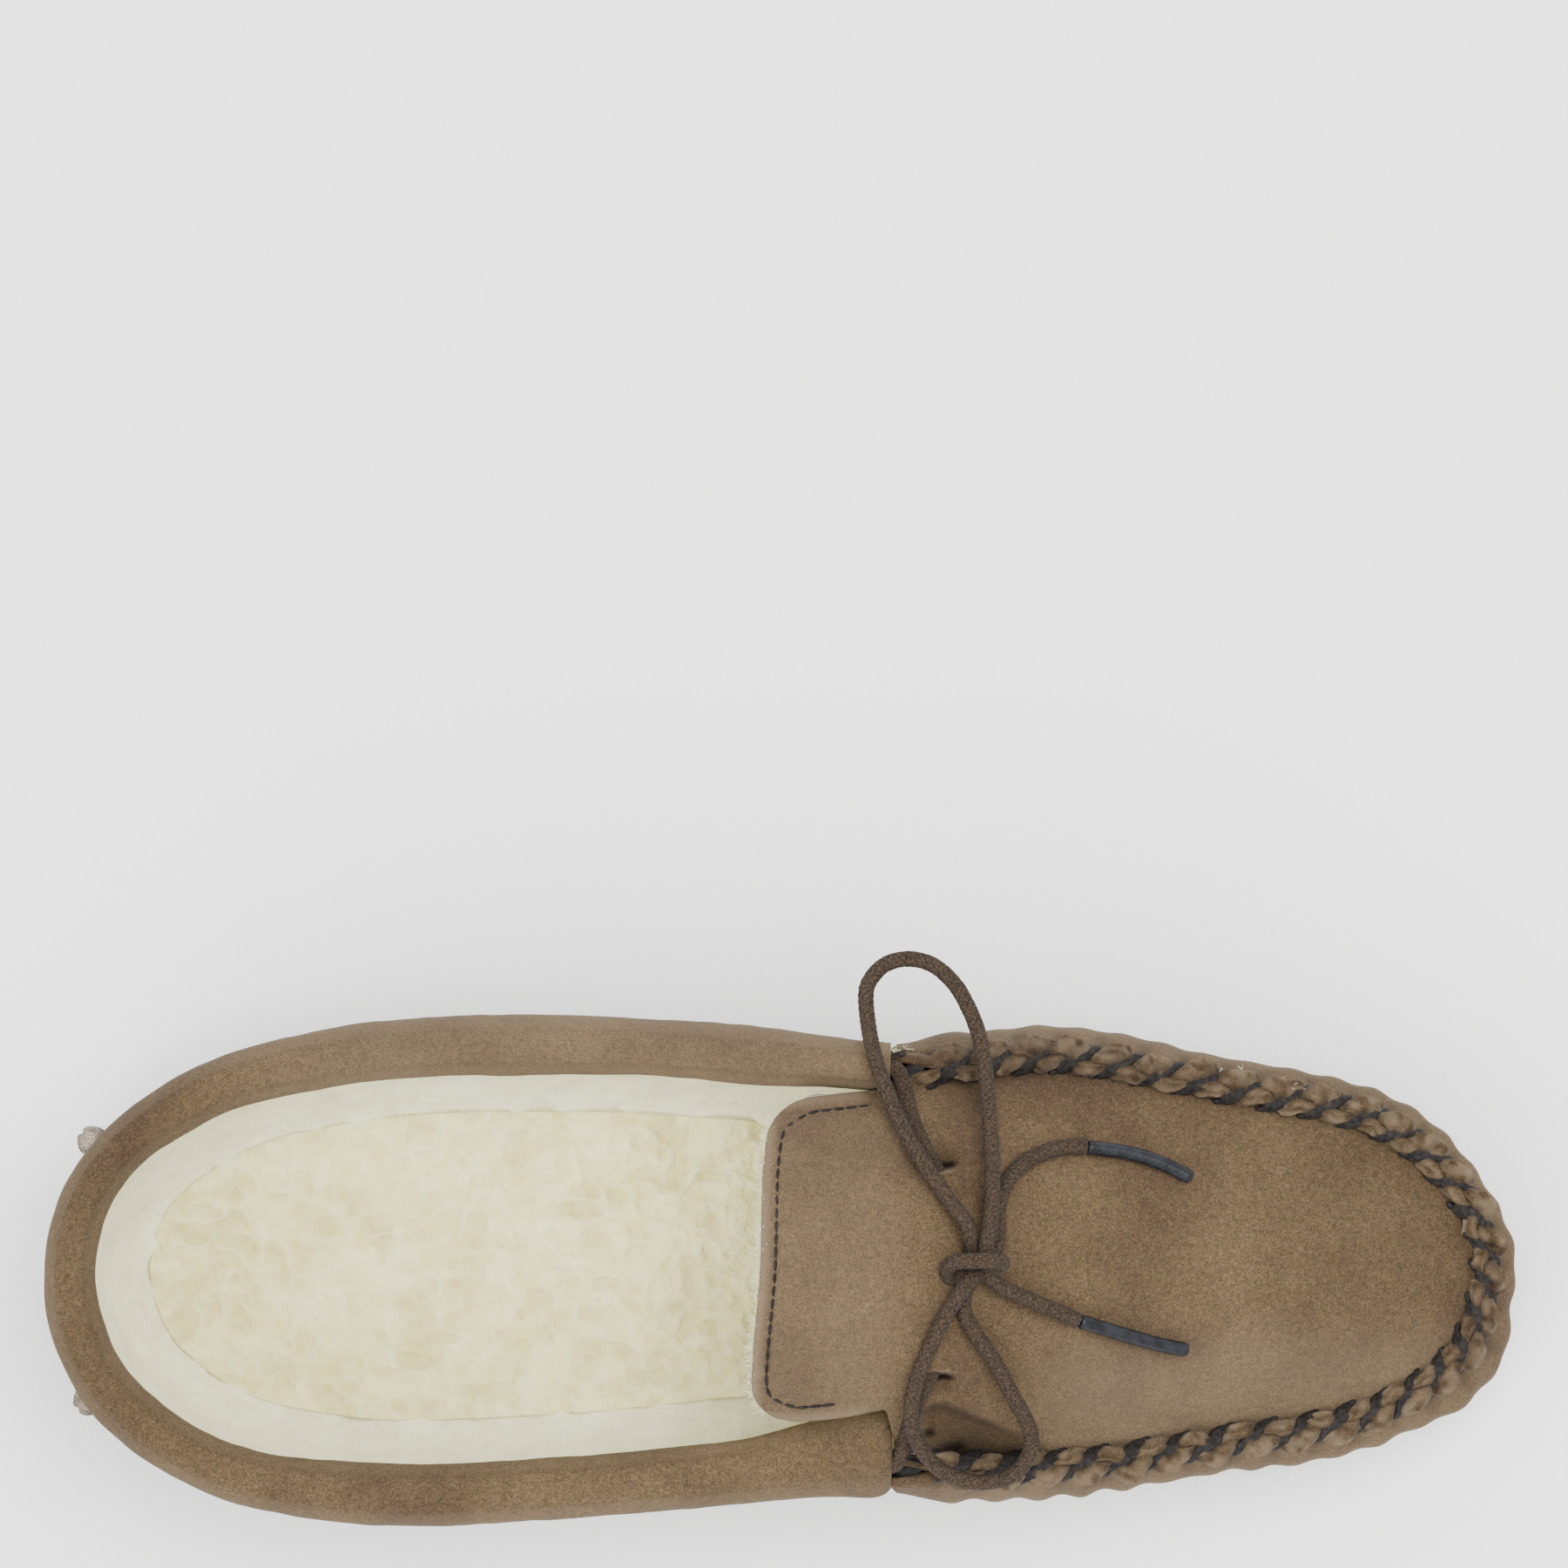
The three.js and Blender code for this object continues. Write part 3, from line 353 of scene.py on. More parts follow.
# ---------------------------------------------------------------- aglets
# A heat-shrunk plastic sleeve over the cord's last 21 mm: satin, nearly black, drawn tight
# enough to show the braid under it faintly, and cut off square at its end.
AGLET = 2.8
AGLET_ROUTES = {
    "lateral": [(58.9, 24.6, 55.8), (67.5, 23.3, 52.8), (74.1, 21.1, 50.8), (79.3, 18.5, 49.5)],
    "medial": [(57.4, -9.1, 60.6), (65.6, -11.7, 56.5), (73, -13.9, 52.9), (78.5, -15, 50.3)],
}
aglet_finish, tree, shader = new_material("shrunk_sleeve", Roughness=0.42, Specular_IOR_Level=0.22)
where = add_node(tree, "TexCoord").outputs["Object"]
ripple = add_node(tree, "TexNoise", Vector=where, Scale=per(2), Detail=3)
dust = add_node(
    tree, "ValToRGB", {"stops": [(0.35, linear("#0f1013")), (0.75, linear("#23252b"))]},
    Fac=ripple.outputs["Fac"],
)
colour_and_relief(tree, shader, dust.outputs[0], ripple.outputs["Fac"], 0.3, 0.2 * MM)


def sleeve_radius(angle, run):
    """Sleeve: a little narrower between the braid's strands, its two ends turned in."""
    under = 0.04 * np.sin(BRAID_STRANDS * angle + 4 * np.pi * run / BRAID_PITCH)
    ends = np.minimum(run, run[-1] - run)
    return AGLET / 2 + under - 0.35 * np.exp(-ends / 0.25)


for side, points in AGLET_ROUTES.items():
    shape = tube_shape(curve_through(points, RING_STEP), CORD_SIDES, sleeve_radius)
    sleeve = make_piece(f"aglet_sleeve_{side}", [shape], aglet_finish, "shoe", [f"aglet_{side}"])
    cord, route = laces[side]

# ---------------------------------------------------------------- outsole
# A thin moulded rubber sole cemented under the suede floor, its edge rounded, with a shallow
# groove round its side and a plain pattern of studs under it.
LENGTH, WIDTH = 287, 99
GAP = 0.3
SOLE_THICKNESS = 6
SOLE_INSET = 9
OUTLINE = [
    (-50.1, 0), (-47.7, 22.5), (-40.3, 39.9), (-29.6, 48.4), (-14.8, 50.3), (-3, 48.7), (7.7, 45),
    (17.8, 48.1), (29.6, 42.4), (41.5, 34.3), (46.7, 22.7), (49.6, 8), (49.8, -5), (47.7, -20.2),
    (41.5, -32.9), (29.6, -39.8), (17.8, -44.1), (3, -43.6), (-14.8, -48.1), (-29.6, -48.9),
    (-40.3, -41.5), (-47.7, -23.4),
]
outline = curve_through(np.array(OUTLINE) * (LENGTH / 100, WIDTH / 100), 0.25, closed=True)[:-1]
along = np.roll(outline, -1, 0) - np.roll(outline, 1, 0)
along /= np.linalg.norm(along, axis=1)[:, None]
outward = np.stack([along[:, 1], -along[:, 0]], 1)
if (outward[0] * outline[0]).sum() < 0:
    outward = -outward
outline_length = float(np.linalg.norm(np.diff(outline, axis=0, append=outline[:1]), axis=1).sum())


def station(fraction):
    """Plan point and outward normal at a fraction of the way round the outline."""
    at = np.arange(len(outline) + 1) / len(outline)
    wrapped = np.vstack([outline, outline[:1]]), np.vstack([outward, outward[:1]])
    f = np.mod(fraction, 1)
    point, normal = [
        np.stack([np.interp(f, at, values[:, k]) for k in (0, 1)], -1) for values in wrapped
    ]
    return point, normal / np.linalg.norm(normal, axis=-1)[..., None]


def wall_points(fraction, inset, height):
    """Points at a height, set in from the outline by inset along its normal."""
    fraction, inset, height = np.broadcast_arrays(fraction, inset, height)
    point, normal = station(fraction)
    return np.concatenate([point - normal * inset[..., None], height[..., None]], -1)


rubber_finish, tree, shader = new_material("moulded_rubber", Roughness=0.82)
where = add_node(tree, "TexCoord").outputs["Object"]
grit = add_node(tree, "TexNoise", Vector=where, Scale=per(1.11), Detail=4)
scuff = add_node(
    tree, "ValToRGB", {"stops": [(0.3, linear("#2b2622")), (0.8, linear("#473f38"))]},
    Fac=grit.outputs["Fac"],
)
colour_and_relief(tree, shader, scuff.outputs[0], grit.outputs["Fac"], 0.4, 0.3 * MM)

SOLE_SECTION = [  # how far inside the sole's edge, height
    (5.2, 1.2), (4.6, 0), (1.4, 0), (0.4, 0.4), (0, 1.3), (0, 2.6), (0.5, 2.9), (0.5, 3.4), (0, 3.7),
    (0, 5.2), (0.3, 5.8), (0.9, SOLE_THICKNESS), (12, SOLE_THICKNESS),
]
STUD_STEP, STUD_TOP, STUD_FOOT, STUD_HEIGHT, STUD_MARGIN = 7.5, 2.4, 2.0, 1.25, 9
sole_run = np.arange(560) / 560
sole_shapes = [ring_shape(np.stack([wall_points(sole_run, SOLE_INSET + i, z) for i, z in SOLE_SECTION]))]
stud_x, stud_y = np.meshgrid(np.arange(-117, 120, STUD_STEP), np.arange(-24, 25, STUD_STEP))
stud_x = stud_x + (np.arange(len(stud_x))[:, None] % 2) * STUD_STEP / 2
stud_field = wall_points(sole_run, SOLE_INSET + STUD_MARGIN, 0.0)
turn = np.arange(6) / 6 * 2 * np.pi
hexagon = np.stack([np.cos(turn), np.sin(turn), 0 * turn], 1)
for x, y in np.stack([stud_x.ravel(), stud_y.ravel()], 1):
    column = stud_field[np.abs(stud_field[:, 0] - x) < 3]
    if len(column) < 2 or not column[:, 1].min() < y < column[:, 1].max():
        continue
    stud = np.stack([(x, y, 0) + STUD_FOOT * hexagon, (x, y, STUD_HEIGHT) + STUD_TOP * hexagon])
    sole_shapes.append(ring_shape(stud))
make_piece("outsole", sole_shapes, rubber_finish, "shoe", ["rubber_outsole"])

# ---------------------------------------------------------------- suede wrap
# One piece of brown suede, lasted up from the floor round the sides and the toe. In front its
# edge is gathered in even puckers by the whipstitch that joins it to the apron.
SUEDE = 1.7
FLOOR_HEIGHT = SOLE_THICKNESS + GAP
RIDGE_HEIGHT = 5.5
RIDGE_OUTER_INSET = 2.6
RIDGE_MIDDLE_INSET = 5.3
COLLAR_SUEDE = 1.4
COLLAR_SEAT = COLLAR_SUEDE + GAP
THROAT_X, THROAT_BLEND = 22, 14
WHIP_PITCH = 8.4
WHIP_START = 2.5
TOP_LINE = [
    (-50, 57.8), (-38, 52.8), (-24, 48.8), (-10, 49.3), (0, 52.3), (7, 55.3), (10.5, 55), (14, 52.5),
    (21, 47.5), (28, 42.5), (35, 38), (42, 33.5), (50, 30),
]
top_line = curve_through(np.array(TOP_LINE) * (LENGTH / 100, 1), 0.5)


def ease(x, low, high):
    """0 below low, 1 above high, and 3t^2 - 2t^3 between."""
    t = np.clip((np.asarray(x, float) - low) / (high - low), 0, 1)
    return t * t * (3 - 2 * t)


def wall_top(x):
    return np.interp(x, top_line[:, 0], top_line[:, 1])


def noise(points, size, seed=0):
    """Smooth noise from -1 to 1: random numbers at the corners of cubes of that size in mm,
    blended by 6t^5 - 15t^4 + 10t^3 along each axis."""
    q = np.asarray(points, float) / size
    cell = np.floor(q).astype(np.int64)
    f = q - cell
    f = f**3 * (f * (f * 6 - 15) + 10)
    total = 0
    for corner in itertools.product((0, 1), repeat=3):
        i, j, k = np.moveaxis(cell + corner, -1, 0)
        n = (i * 374761393 + j * 668265263 + k * 2246822519 + seed * 3266489917) & 0xFFFFFFFF
        n = ((n ^ (n >> 13)) * 1274126177) & 0xFFFFFFFF
        n ^= n >> 16
        total = total + np.prod(np.where(corner, f, 1 - f), axis=-1) * (n / 2**31 - 1)
    return total


def smooth_rows(control, count):
    """Rows of a surface: uniform Catmull-Rom through the control rows."""
    c = np.concatenate([2 * control[:1] - control[1:2], control, 2 * control[-1:] - control[-2:-1]])
    at = np.linspace(0, len(control) - 1, count)
    i = np.minimum(at.astype(int), len(control) - 2)
    t = (at - i).reshape(-1, *[1] * (control.ndim - 1))
    p0, p1, p2, p3 = c[i], c[i + 1], c[i + 2], c[i + 3]
    curved = (2 * p0 - 5 * p1 + 4 * p2 - p3) * t**2 + (3 * p1 - p0 - 3 * p2 + p3) * t**3
    return 0.5 * (2 * p1 + (p2 - p0) * t + curved)


toe_index = int(np.argmax(outline[:, 0]))
TO_THE_TOE = {1: np.arange(toe_index), -1: np.arange(len(outline) - 1, toe_index, -1)}


def fraction_at(x, side):
    """The fraction at which the lateral (1) or medial (-1) side of the outline reaches x."""
    order = TO_THE_TOE[side]
    return np.interp(x, np.maximum.accumulate(outline[order, 0]), order) / len(outline)


whip_from = float(fraction_at(THROAT_X + WHIP_START, 1))
whip_to = float(fraction_at(THROAT_X + WHIP_START, -1))
whip_turns = int(round((whip_to - whip_from) * outline_length / WHIP_PITCH))
WHIP_SLANT = 0.42  # share of a pitch that a stitch leans forward from the apron to the wrap
rng = np.random.default_rng(8)
pucker_size = rng.uniform(0.82, 1.18, whip_turns + 4)


def whip_phase(fraction, across=0):
    """Stitches passed since the throat; across runs from -1 at the apron's side of the ridge
    to 1 at the wrap's side, where the slanted stitch lies further on."""
    return (fraction - whip_from) / (whip_to - whip_from) * whip_turns - WHIP_SLANT * across


def pinch(phase):
    """1 where a stitch presses the edge down, 0 in the middle of a pucker."""
    off = np.abs(phase - np.round(phase)) * WHIP_PITCH
    inside = ease(phase, -0.8, -0.2) * (1 - ease(phase, whip_turns - 0.8, whip_turns - 0.2))
    return np.exp(-((off / 1.55) ** 2)) * inside


def pucker_scale(phase):
    return np.interp(phase, np.arange(len(pucker_size)) - 1.5, pucker_size)


def ridge_points(fraction, section, across):
    """One half of the gathered ridge: the section's points (inset, height above the wall's
    top) drawn in to the ridge's middle by each stitch, swollen between stitches, folded into
    small wrinkles that run from stitch to stitch, with a pit before each stitch; and its painted
    shade in the pinches, the pits and the wrinkles' valleys, over an even darker tone of the ridge."""
    phase = whip_phase(fraction[None, :], across[:, None])
    press = pinch(phase)
    forward = ease(station(fraction)[0][:, 0], THROAT_X - 1, THROAT_X + 9)[None, :]
    swell = (1 + 0.13 * (pucker_scale(phase) - 0.55) - 0.52 * press) * forward + (1 - forward) * 0.8
    wander = 0.8 * noise(np.column_stack([station(fraction)[0], 0 * fraction]), 4.5, 6) * forward
    inset = RIDGE_MIDDLE_INSET + wander + (section[:, :1] - RIDGE_MIDDLE_INSET) * swell
    low = -3.4
    height = low + (section[:, 1:] - low) * swell
    base = wall_points(fraction[None, :], inset, wall_top(station(fraction)[0][:, 0])[None, :] + height)
    share = phase - np.floor(phase)
    crumple = 0.35 * np.sin(np.pi * phase) + 0.4 * noise(base, 3, 3)
    fold = np.sin((across[:, None] * 3.1 + crumple) * 2 * np.pi) * (1 - press)
    pit = np.exp(-(((share - 0.68) / 0.1) ** 2) - ((across[:, None] - 0.42) / 0.17) ** 2)
    pit = pit * pucker_scale(phase)
    relief = 0.27 * fold + 0.34 * noise(base, 2.1, 3) + 0.26 * noise(base, 0.9, 4) - 1.1 * pit
    depth = np.clip((section[:, 1:] + 5) / 3, 0, 1)
    base[..., 2] += relief * depth * forward
    sideways = 0.6 * relief * np.sign(across)[:, None] * depth * forward
    base[..., :2] += station(fraction)[1][None] * sideways[..., None]
    # Painted shade in the pinches, the pits and the wrinkles' valleys, over an even darker tone of the
    # ridge.
    dark = press * 0.5 + 0.9 * pit + 0.34 * (1 - fold) / 2 + 0.12
    return base, dark * forward


def suede_material(name, base, pale, dark):
    """Napped suede: brushed leather with a short nap. Blotches of brushed and rubbed nap some
    centimetres wide, a grain of 0.5 mm specks from yellow to red, and a soft sheen."""
    material, tree, shader = new_material(
        name, Roughness=0.96, Specular_IOR_Level=0.12, Sheen_Weight=0.08, Sheen_Roughness=0.45,
        Sheen_Tint=linear("#e9d9c0"),
    )
    where = add_node(tree, "TexCoord").outputs["Object"]
    blotch = add_node(tree, "TexNoise", Vector=where, Scale=per(26.3), Detail=4, Roughness=0.6)
    nap = add_node(tree, "TexNoise", Vector=where, Scale=per(0.385), Detail=2, Roughness=0.7)
    tuft = add_node(tree, "TexNoise", Vector=where, Scale=per(1.176), Detail=3, Roughness=0.7)
    tones = add_node(
        tree, "ValToRGB", {"stops": [(0.36, linear(dark)), (0.5, linear(base)), (0.66, linear(pale))]},
        Fac=blotch.outputs["Fac"],
    )
    specks = add_node(
        tree, "ValToRGB", {"stops": [(0.36, (0.6, 0.58, 0.56, 1)), (0.66, (1.38, 1.39, 1.37, 1))]},
        Fac=nap.outputs["Fac"],
    )
    tufts = add_node(
        tree, "ValToRGB", {"stops": [(0.35, (0.8, 0.78, 0.76, 1)), (0.68, (1.2, 1.21, 1.22, 1))]},
        Fac=tuft.outputs["Fac"],
    )
    grain = add_node(tree, "Mix", MULTIPLY, i0=0.85, i6=tones.outputs[0], i7=specks.outputs[0])
    clumps = add_node(tree, "Mix", MULTIPLY, i0=0.8, i6=grain.outputs[2], i7=tufts.outputs[0])
    overlay = {"data_type": "RGBA", "blend_type": "OVERLAY"}
    hue = add_node(tree, "Mix", overlay, i0=0.22, i6=clumps.outputs[2], i7=nap.outputs["Color"])
    # The shade attribute darkens towards #5d5148: painted shade on the suede; on the cut heel seams it
    # gives the dyed flanks their brown.
    shade = add_node(tree, "Attribute", {"attribute_name": "shade"}).outputs["Fac"]
    darker = add_node(tree, "Mix", MULTIPLY, i0=shade, i6=hue.outputs[2], i7=linear("#5d5148"))
    # The rub attribute turns the nap paler towards #8b7b66: rubbed nap in places, painted light in others.
    rub = add_node(tree, "Attribute", {"attribute_name": "rub"}).outputs["Fac"]
    paler = add_node(
        tree, "Mix", {"data_type": "RGBA"}, i0=rub, i6=darker.outputs[2], i7=linear("#8b7b66"),
    )
    relief = add_node(
        tree, "Math", {"operation": "MULTIPLY_ADD"}, i0=tuft.outputs["Fac"], i1=1.5, i2=nap.outputs["Fac"],
    )
    colour_and_relief(tree, shader, paler.outputs[2], relief.outputs[0], 0.55, 0.4 * MM)
    return material


suede = suede_material("napped_suede", "#514331", "#584936", "#483a2c")


def sheet_shape(upper, lower):
    """A closed sheet between two grids of points of the same size: both faces and a border."""
    rows, columns = upper.shape[:2]
    count = rows * columns
    edge = np.concatenate([
        np.arange(columns), np.arange(1, rows) * columns + columns - 1,
        (rows - 1) * columns + np.arange(columns - 2, -1, -1), np.arange(rows - 2, 0, -1) * columns,
    ])
    after = np.roll(edge, -1)
    border = np.stack([edge, edge + count, after + count, after], 1)
    faces = grid_faces(rows, columns)
    return np.concatenate([upper, lower]).reshape(-1, 3), [faces, faces[:, ::-1] + count, border]


HEEL_PANEL_WIDTH = 50
SEAM_GAP = 0.0006  # of the way round the outline
WALL_ROWS, RIDGE_ROWS = 32, 26
FORE_COLUMNS, SIDE_COLUMNS = 640, 90
part = len(outline) // 8
half_width = HEEL_PANEL_WIDTH / 2
heel_stop = np.interp(half_width, outline[:part, 1], np.arange(part)) / len(outline)
heel_start = -np.interp(half_width, -outline[-1:-part:-1, 1], np.arange(1, part)) / len(outline)
fore = np.linspace(fraction_at(THROAT_X - 3, 1), fraction_at(THROAT_X - 3, -1), FORE_COLUMNS)
wrap_run = np.concatenate([
    np.linspace(heel_stop + SEAM_GAP, fore[0], SIDE_COLUMNS)[:-1], fore,
    np.linspace(fore[-1], 1 + heel_start - SEAM_GAP, SIDE_COLUMNS)[1:],
])


def outer_wall(fraction):
    """Control rows (inset, height) of the wrap's outer face from the floor to the ridge, and
    how far forward each station is. It is fuller at the throat and at the toe's medial side."""
    x = station(fraction)[0][:, 0]
    k = ease(x, THROAT_X, THROAT_X + THROAT_BLEND)
    foot = wall_top(x) - RIDGE_HEIGHT
    form = [
        (0, 13, 13), (0.05, 9, 9), (0.2, 5, 4.2), (0.42, 2.6, 0.5), (0.66, COLLAR_SEAT, -0.8),
        (0.86, COLLAR_SEAT, -0.4), (1, COLLAR_SEAT, RIDGE_OUTER_INSET - 0.4),
    ]
    inset = np.stack([heel + (front - heel) * k for _, heel, front in form])
    height = np.stack([FLOOR_HEIGHT + (foot - FLOOR_HEIGHT) * share for share, *_ in form])
    y = station(fraction)[0][:, 1]
    fuller = 1.7 * ease(x, 20, 22.5) * (1 - ease(x, 28, 37)) + 2.2 * ease(x, 122, 134) * ease(-y, 6, 18)
    fuller = fuller - ease(x, 34, 44) * ease(y, 0, 18)
    inset = inset - np.array([0, 0, 0.5, 1, 1, 0.8, 0.2])[:, None] * fuller
    return np.stack([inset, height], -1), k


def wall_grids(fraction):
    """The wall's outer face up to the ridge, and the inner face up to the wall's top."""
    control, k = outer_wall(fraction)
    outer = smooth_rows(control, WALL_ROWS)
    top = wall_top(station(fraction)[0][:, 0])
    turned = np.stack([SUEDE + 0.5 * k, -k], -1)
    last = np.stack([np.where(k > 0.5, RIDGE_MIDDLE_INSET - 0.2, COLLAR_SEAT + SUEDE), top - 3.6], -1)
    inner_control = np.concatenate([
        control[:1] + (SUEDE, SUEDE), control[1:2] + (SUEDE, 1.6), control[2:3] + (SUEDE, 0.9),
        control[3:4] + (SUEDE, 0.3), control[4:5] + (SUEDE, 0), (control[5] + turned)[None], last[None],
    ])
    return outer, smooth_rows(inner_control, WALL_ROWS), k


outer, inner, forward = wall_grids(wrap_run)
x_here = station(wrap_run)[0][:, 0]
level = np.linspace(0, 1, WALL_ROWS)[:, None]
phase = whip_phase(wrap_run, 1.2)[None, :]
press = pinch(phase) * forward[None, :]
# Gathers below the stitches, deepest at the ridge and fainter in the first dozen stitches.
gather = 0.5 * np.cos(2 * np.pi * (phase - 0.5)) * pucker_scale(phase) * forward[None, :]
gather = gather * ease(level, 0.35, 0.97) * (0.5 + 0.5 * ease(whip_phase(wrap_run)[None, :], 7, 14))
gather = gather * (1 + 0.7 * noise(wall_points(wrap_run, 0.0, 0.0), 13, 7))[None, :]
wall = wall_points(wrap_run[None, :], outer[..., 0] - gather, outer[..., 1])
swell = 0.5 * noise(wall, 17, 1) * ease(level, 0.1, 0.5)
wall[..., :2] += station(wrap_run)[1][None] * swell[..., None]
ridge_section = smooth_rows(np.array([  # inset, height above the wall's top
    (2.2, -4.4), (1.7, -3.2), (1.7, -1.9), (2.2, -0.7), (3.2, 0), (4.4, 0.2), (5.3, 0.1),
    (5.62, -0.25), (5.66, -1.1), (5.4, -3),
]), RIDGE_ROWS)
ridge, ridge_dark = ridge_points(wrap_run, ridge_section, np.linspace(1.15, 0.02, RIDGE_ROWS))
gathered = ease(x_here, THROAT_X - 1, THROAT_X + 9)[None, :, None]
up_ridge = np.linspace(0, 1, RIDGE_ROWS)[:, None]
under_collar = wall_points(
    wrap_run[None, :], COLLAR_SEAT + SUEDE * ease(up_ridge, 0.45, 0.55),
    wall_top(x_here)[None, :] + np.interp(up_ridge, [0, 0.45, 0.55, 1], [-RIDGE_HEIGHT + 0.4, 0, 0, -3.4]),
)
ridge = gathered * ridge + (1 - gathered) * under_collar
inside = wall_points(wrap_run[None, :], inner[..., 0], inner[..., 1])
lip = inside[-1:] + (ridge[-1:] - inside[-1:]) * (0.7 * up_ridge[:, :, None])
inside = np.concatenate([inside, lip])
floor_run = np.arange(200) / 200
floor_plate = ring_shape(np.stack([
    wall_points(floor_run, inset, FLOOR_HEIGHT + above)
    for inset, above in ((30, 0.0), (12.5, 0.0), (12.5, SUEDE), (30, SUEDE))
]))


# Packs each piece's painted shade, and its rubbed nap and painted light, one value a point.
def point_values(*grids):
    """One value from 0 to 1 for each point of the grids, in the order of a piece's shapes."""
    return np.concatenate([np.clip(grid, 0, 1).ravel() for grid in grids])


# Shade gathers in the pinches and at the ridge's foot; the nap is rubbed paler on its crest.
wall_shade = press * ease(level, 0.75, 1) * 0.6
foot_shade = np.interp(up_ridge, [0, 0.1, 0.2, 0.75, 1], [0.5, 0.2, 0, 0.05, 0.35])
ridge_shade = ridge_dark + foot_shade * gathered[..., 0]
wall_rub = 0.12 * forward[None, :] * ease(level, 0.5, 0.9)
crest = np.interp(up_ridge, [0, 0.3, 0.55, 0.8, 1], [0.2, 0.5, 0.35, 0, 0])
ridge_rub = 0.6 * crest * np.clip(0.5 + 0.9 * noise(ridge, 1.6, 9), 0, 1) * forward[None, :]
blank = np.zeros(inside[..., 0].size + len(floor_plate[0]))
make_piece(
    "wrap", [sheet_shape(np.concatenate([wall, ridge]), inside), floor_plate], suede, "shoe",
    ["suede_wrap"],
    {"shade": point_values(wall_shade, ridge_shade, blank), "rub": point_values(wall_rub, ridge_rub, blank)},
)

# ---------------------------------------------------------------- heel panel and its seams
# A separate suede panel closes the back. Its two edges are turned out with the wrap's and
# sewn together, so that a raised seam with cut edges and a little wool runs down each side.
HEEL_SEAM_PROUD = 5.2
# Cut hide, undyed inside: greyish and pale, with the nap's grain.
raw_edge = suede_material("raw_hide_edge", "#a3988a", "#cfc6b6", "#75695a")
heel_run = np.linspace(heel_start + SEAM_GAP, heel_stop - SEAM_GAP, 60)
heel_outer, heel_inner, _ = wall_grids(heel_run)
heel_x = station(heel_run)[0][:, 0]
heel_top = wall_points(
    heel_run[None, :], np.array([COLLAR_SEAT, COLLAR_SEAT + 0.5, COLLAR_SEAT + SUEDE])[:, None],
    wall_top(heel_x)[None, :] - np.array([1.0, 0, 0.6])[:, None],
)
heel_face = wall_points(heel_run[None, :], heel_outer[..., 0], heel_outer[..., 1])
heel_face = np.concatenate([heel_face, heel_top])
heel_back = wall_points(heel_run[None, :], heel_inner[..., 0], heel_inner[..., 1])
heel_lift = np.array([0.5, 1.5, 2.5])[:, None, None] * (0, 0, 1)
heel_back = np.concatenate([heel_back, heel_back[-1:] + heel_lift])
make_piece(
    "heel_back_panel", [sheet_shape(heel_face, heel_back)], suede, "shoe", ["heel_panel"],
)
SEAM_ROWS = 70
for side, at in (("lateral", heel_stop), ("medial", heel_start)):
    seam_outer = wall_grids(np.array([at]))[0]
    run = np.linspace(0.06, 0.97, SEAM_ROWS)
    inset = np.interp(run, np.linspace(0, 1, WALL_ROWS), seam_outer[:, 0, 0])
    height = np.interp(run, np.linspace(0, 1, WALL_ROWS), seam_outer[:, 0, 1])
    keep = height < wall_top(-135) - 11.6
    inset, height = inset[keep], height[keep]
    point, normal = station(np.array([at]))
    tangent = np.stack([-normal[:, 1], normal[:, 0]], 1)
    turn = np.arange(20) / 20 * 2 * np.pi
    across = 3 * np.cos(turn) * (1 - 0.18 * np.abs(np.sin(turn)))
    outer_half = np.sin(turn) > 0
    from_end = np.minimum(height - height[0], height[-1] - height)
    taper = np.sqrt(1 - (1 - np.clip(from_end / 3.5 + 0.02, 0, 1)) ** 2)[:, None]
    proud = (HEEL_SEAM_PROUD - 2.6 * (1 - ease(height, height[-1] - 22, height[-1] - 5)))[:, None] * taper
    groove = 0.7 * np.exp(-((across / 0.5) ** 2)) * outer_half * taper
    out = proud / 2 * (1 + np.sin(turn)) - 0.4 - groove
    across = across * (0.35 + 0.65 * taper) * (0.75 + 0.25 * proud / HEEL_SEAM_PROUD)
    stitches = 0.4 * np.abs(np.sin(np.arange(len(height)) * 0.85))[:, None] * outer_half
    plan = point[:, None] - normal[:, None] * (inset[:, None] - out - stitches)[..., None]
    plan = plan + tangent[:, None] * across[..., None]
    rows = np.concatenate([plan, np.broadcast_to(height[:, None, None], (*plan.shape[:2], 1))], -1)
    rows += (noise(rows, 1.3, 5) * 0.22)[..., None] * np.append(normal[0], 0)
    high = ease(height, height[-1] - 16, height[-1] - 6)[:, None]
    pale = np.exp(-((across / (1.1 + 1.6 * high)) ** 2)) * outer_half * (0.75 + 0.25 * noise(rows, 1.4, 6))
    make_piece(
        f"heel_back_seam_{side}", [ring_shape(rows)], raw_edge, "shoe", [f"heel_seam_{side}"],
        {"shade": 0.8 * (1 - np.append(pale, [0, 0]))},
    )

# ---------------------------------------------------------------- insole foam
# A die-cut sheet of latex foam under the sock: fine open cells, straw-coloured.
foam_finish, tree, shader = new_material("latex_foam", Roughness=0.95)
where = add_node(tree, "TexCoord").outputs["Object"]
cells = add_node(tree, "TexVoronoi", Vector=where, Scale=per(0.714))
tint = add_node(
    tree, "ValToRGB", {"stops": [(0, linear("#a89a6f")), (1, linear("#d2c497"))]},
    Fac=cells.outputs["Distance"],
)
tree.links.new(tint.outputs[0], shader.inputs["Base Color"])
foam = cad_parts["insole_foam"]
foam.data.materials.clear()
foam.data.materials.append(foam_finish)

# ---------------------------------------------------------------- fleece
# Lambswool pile about 6 mm long. On the footbed it is curly and a little yellow, in locks of
# 3 mm with hollows between; on the wall it is combed smooth and paler.
SOCK_TOP = 18.6
SOCK_EDGE = 19


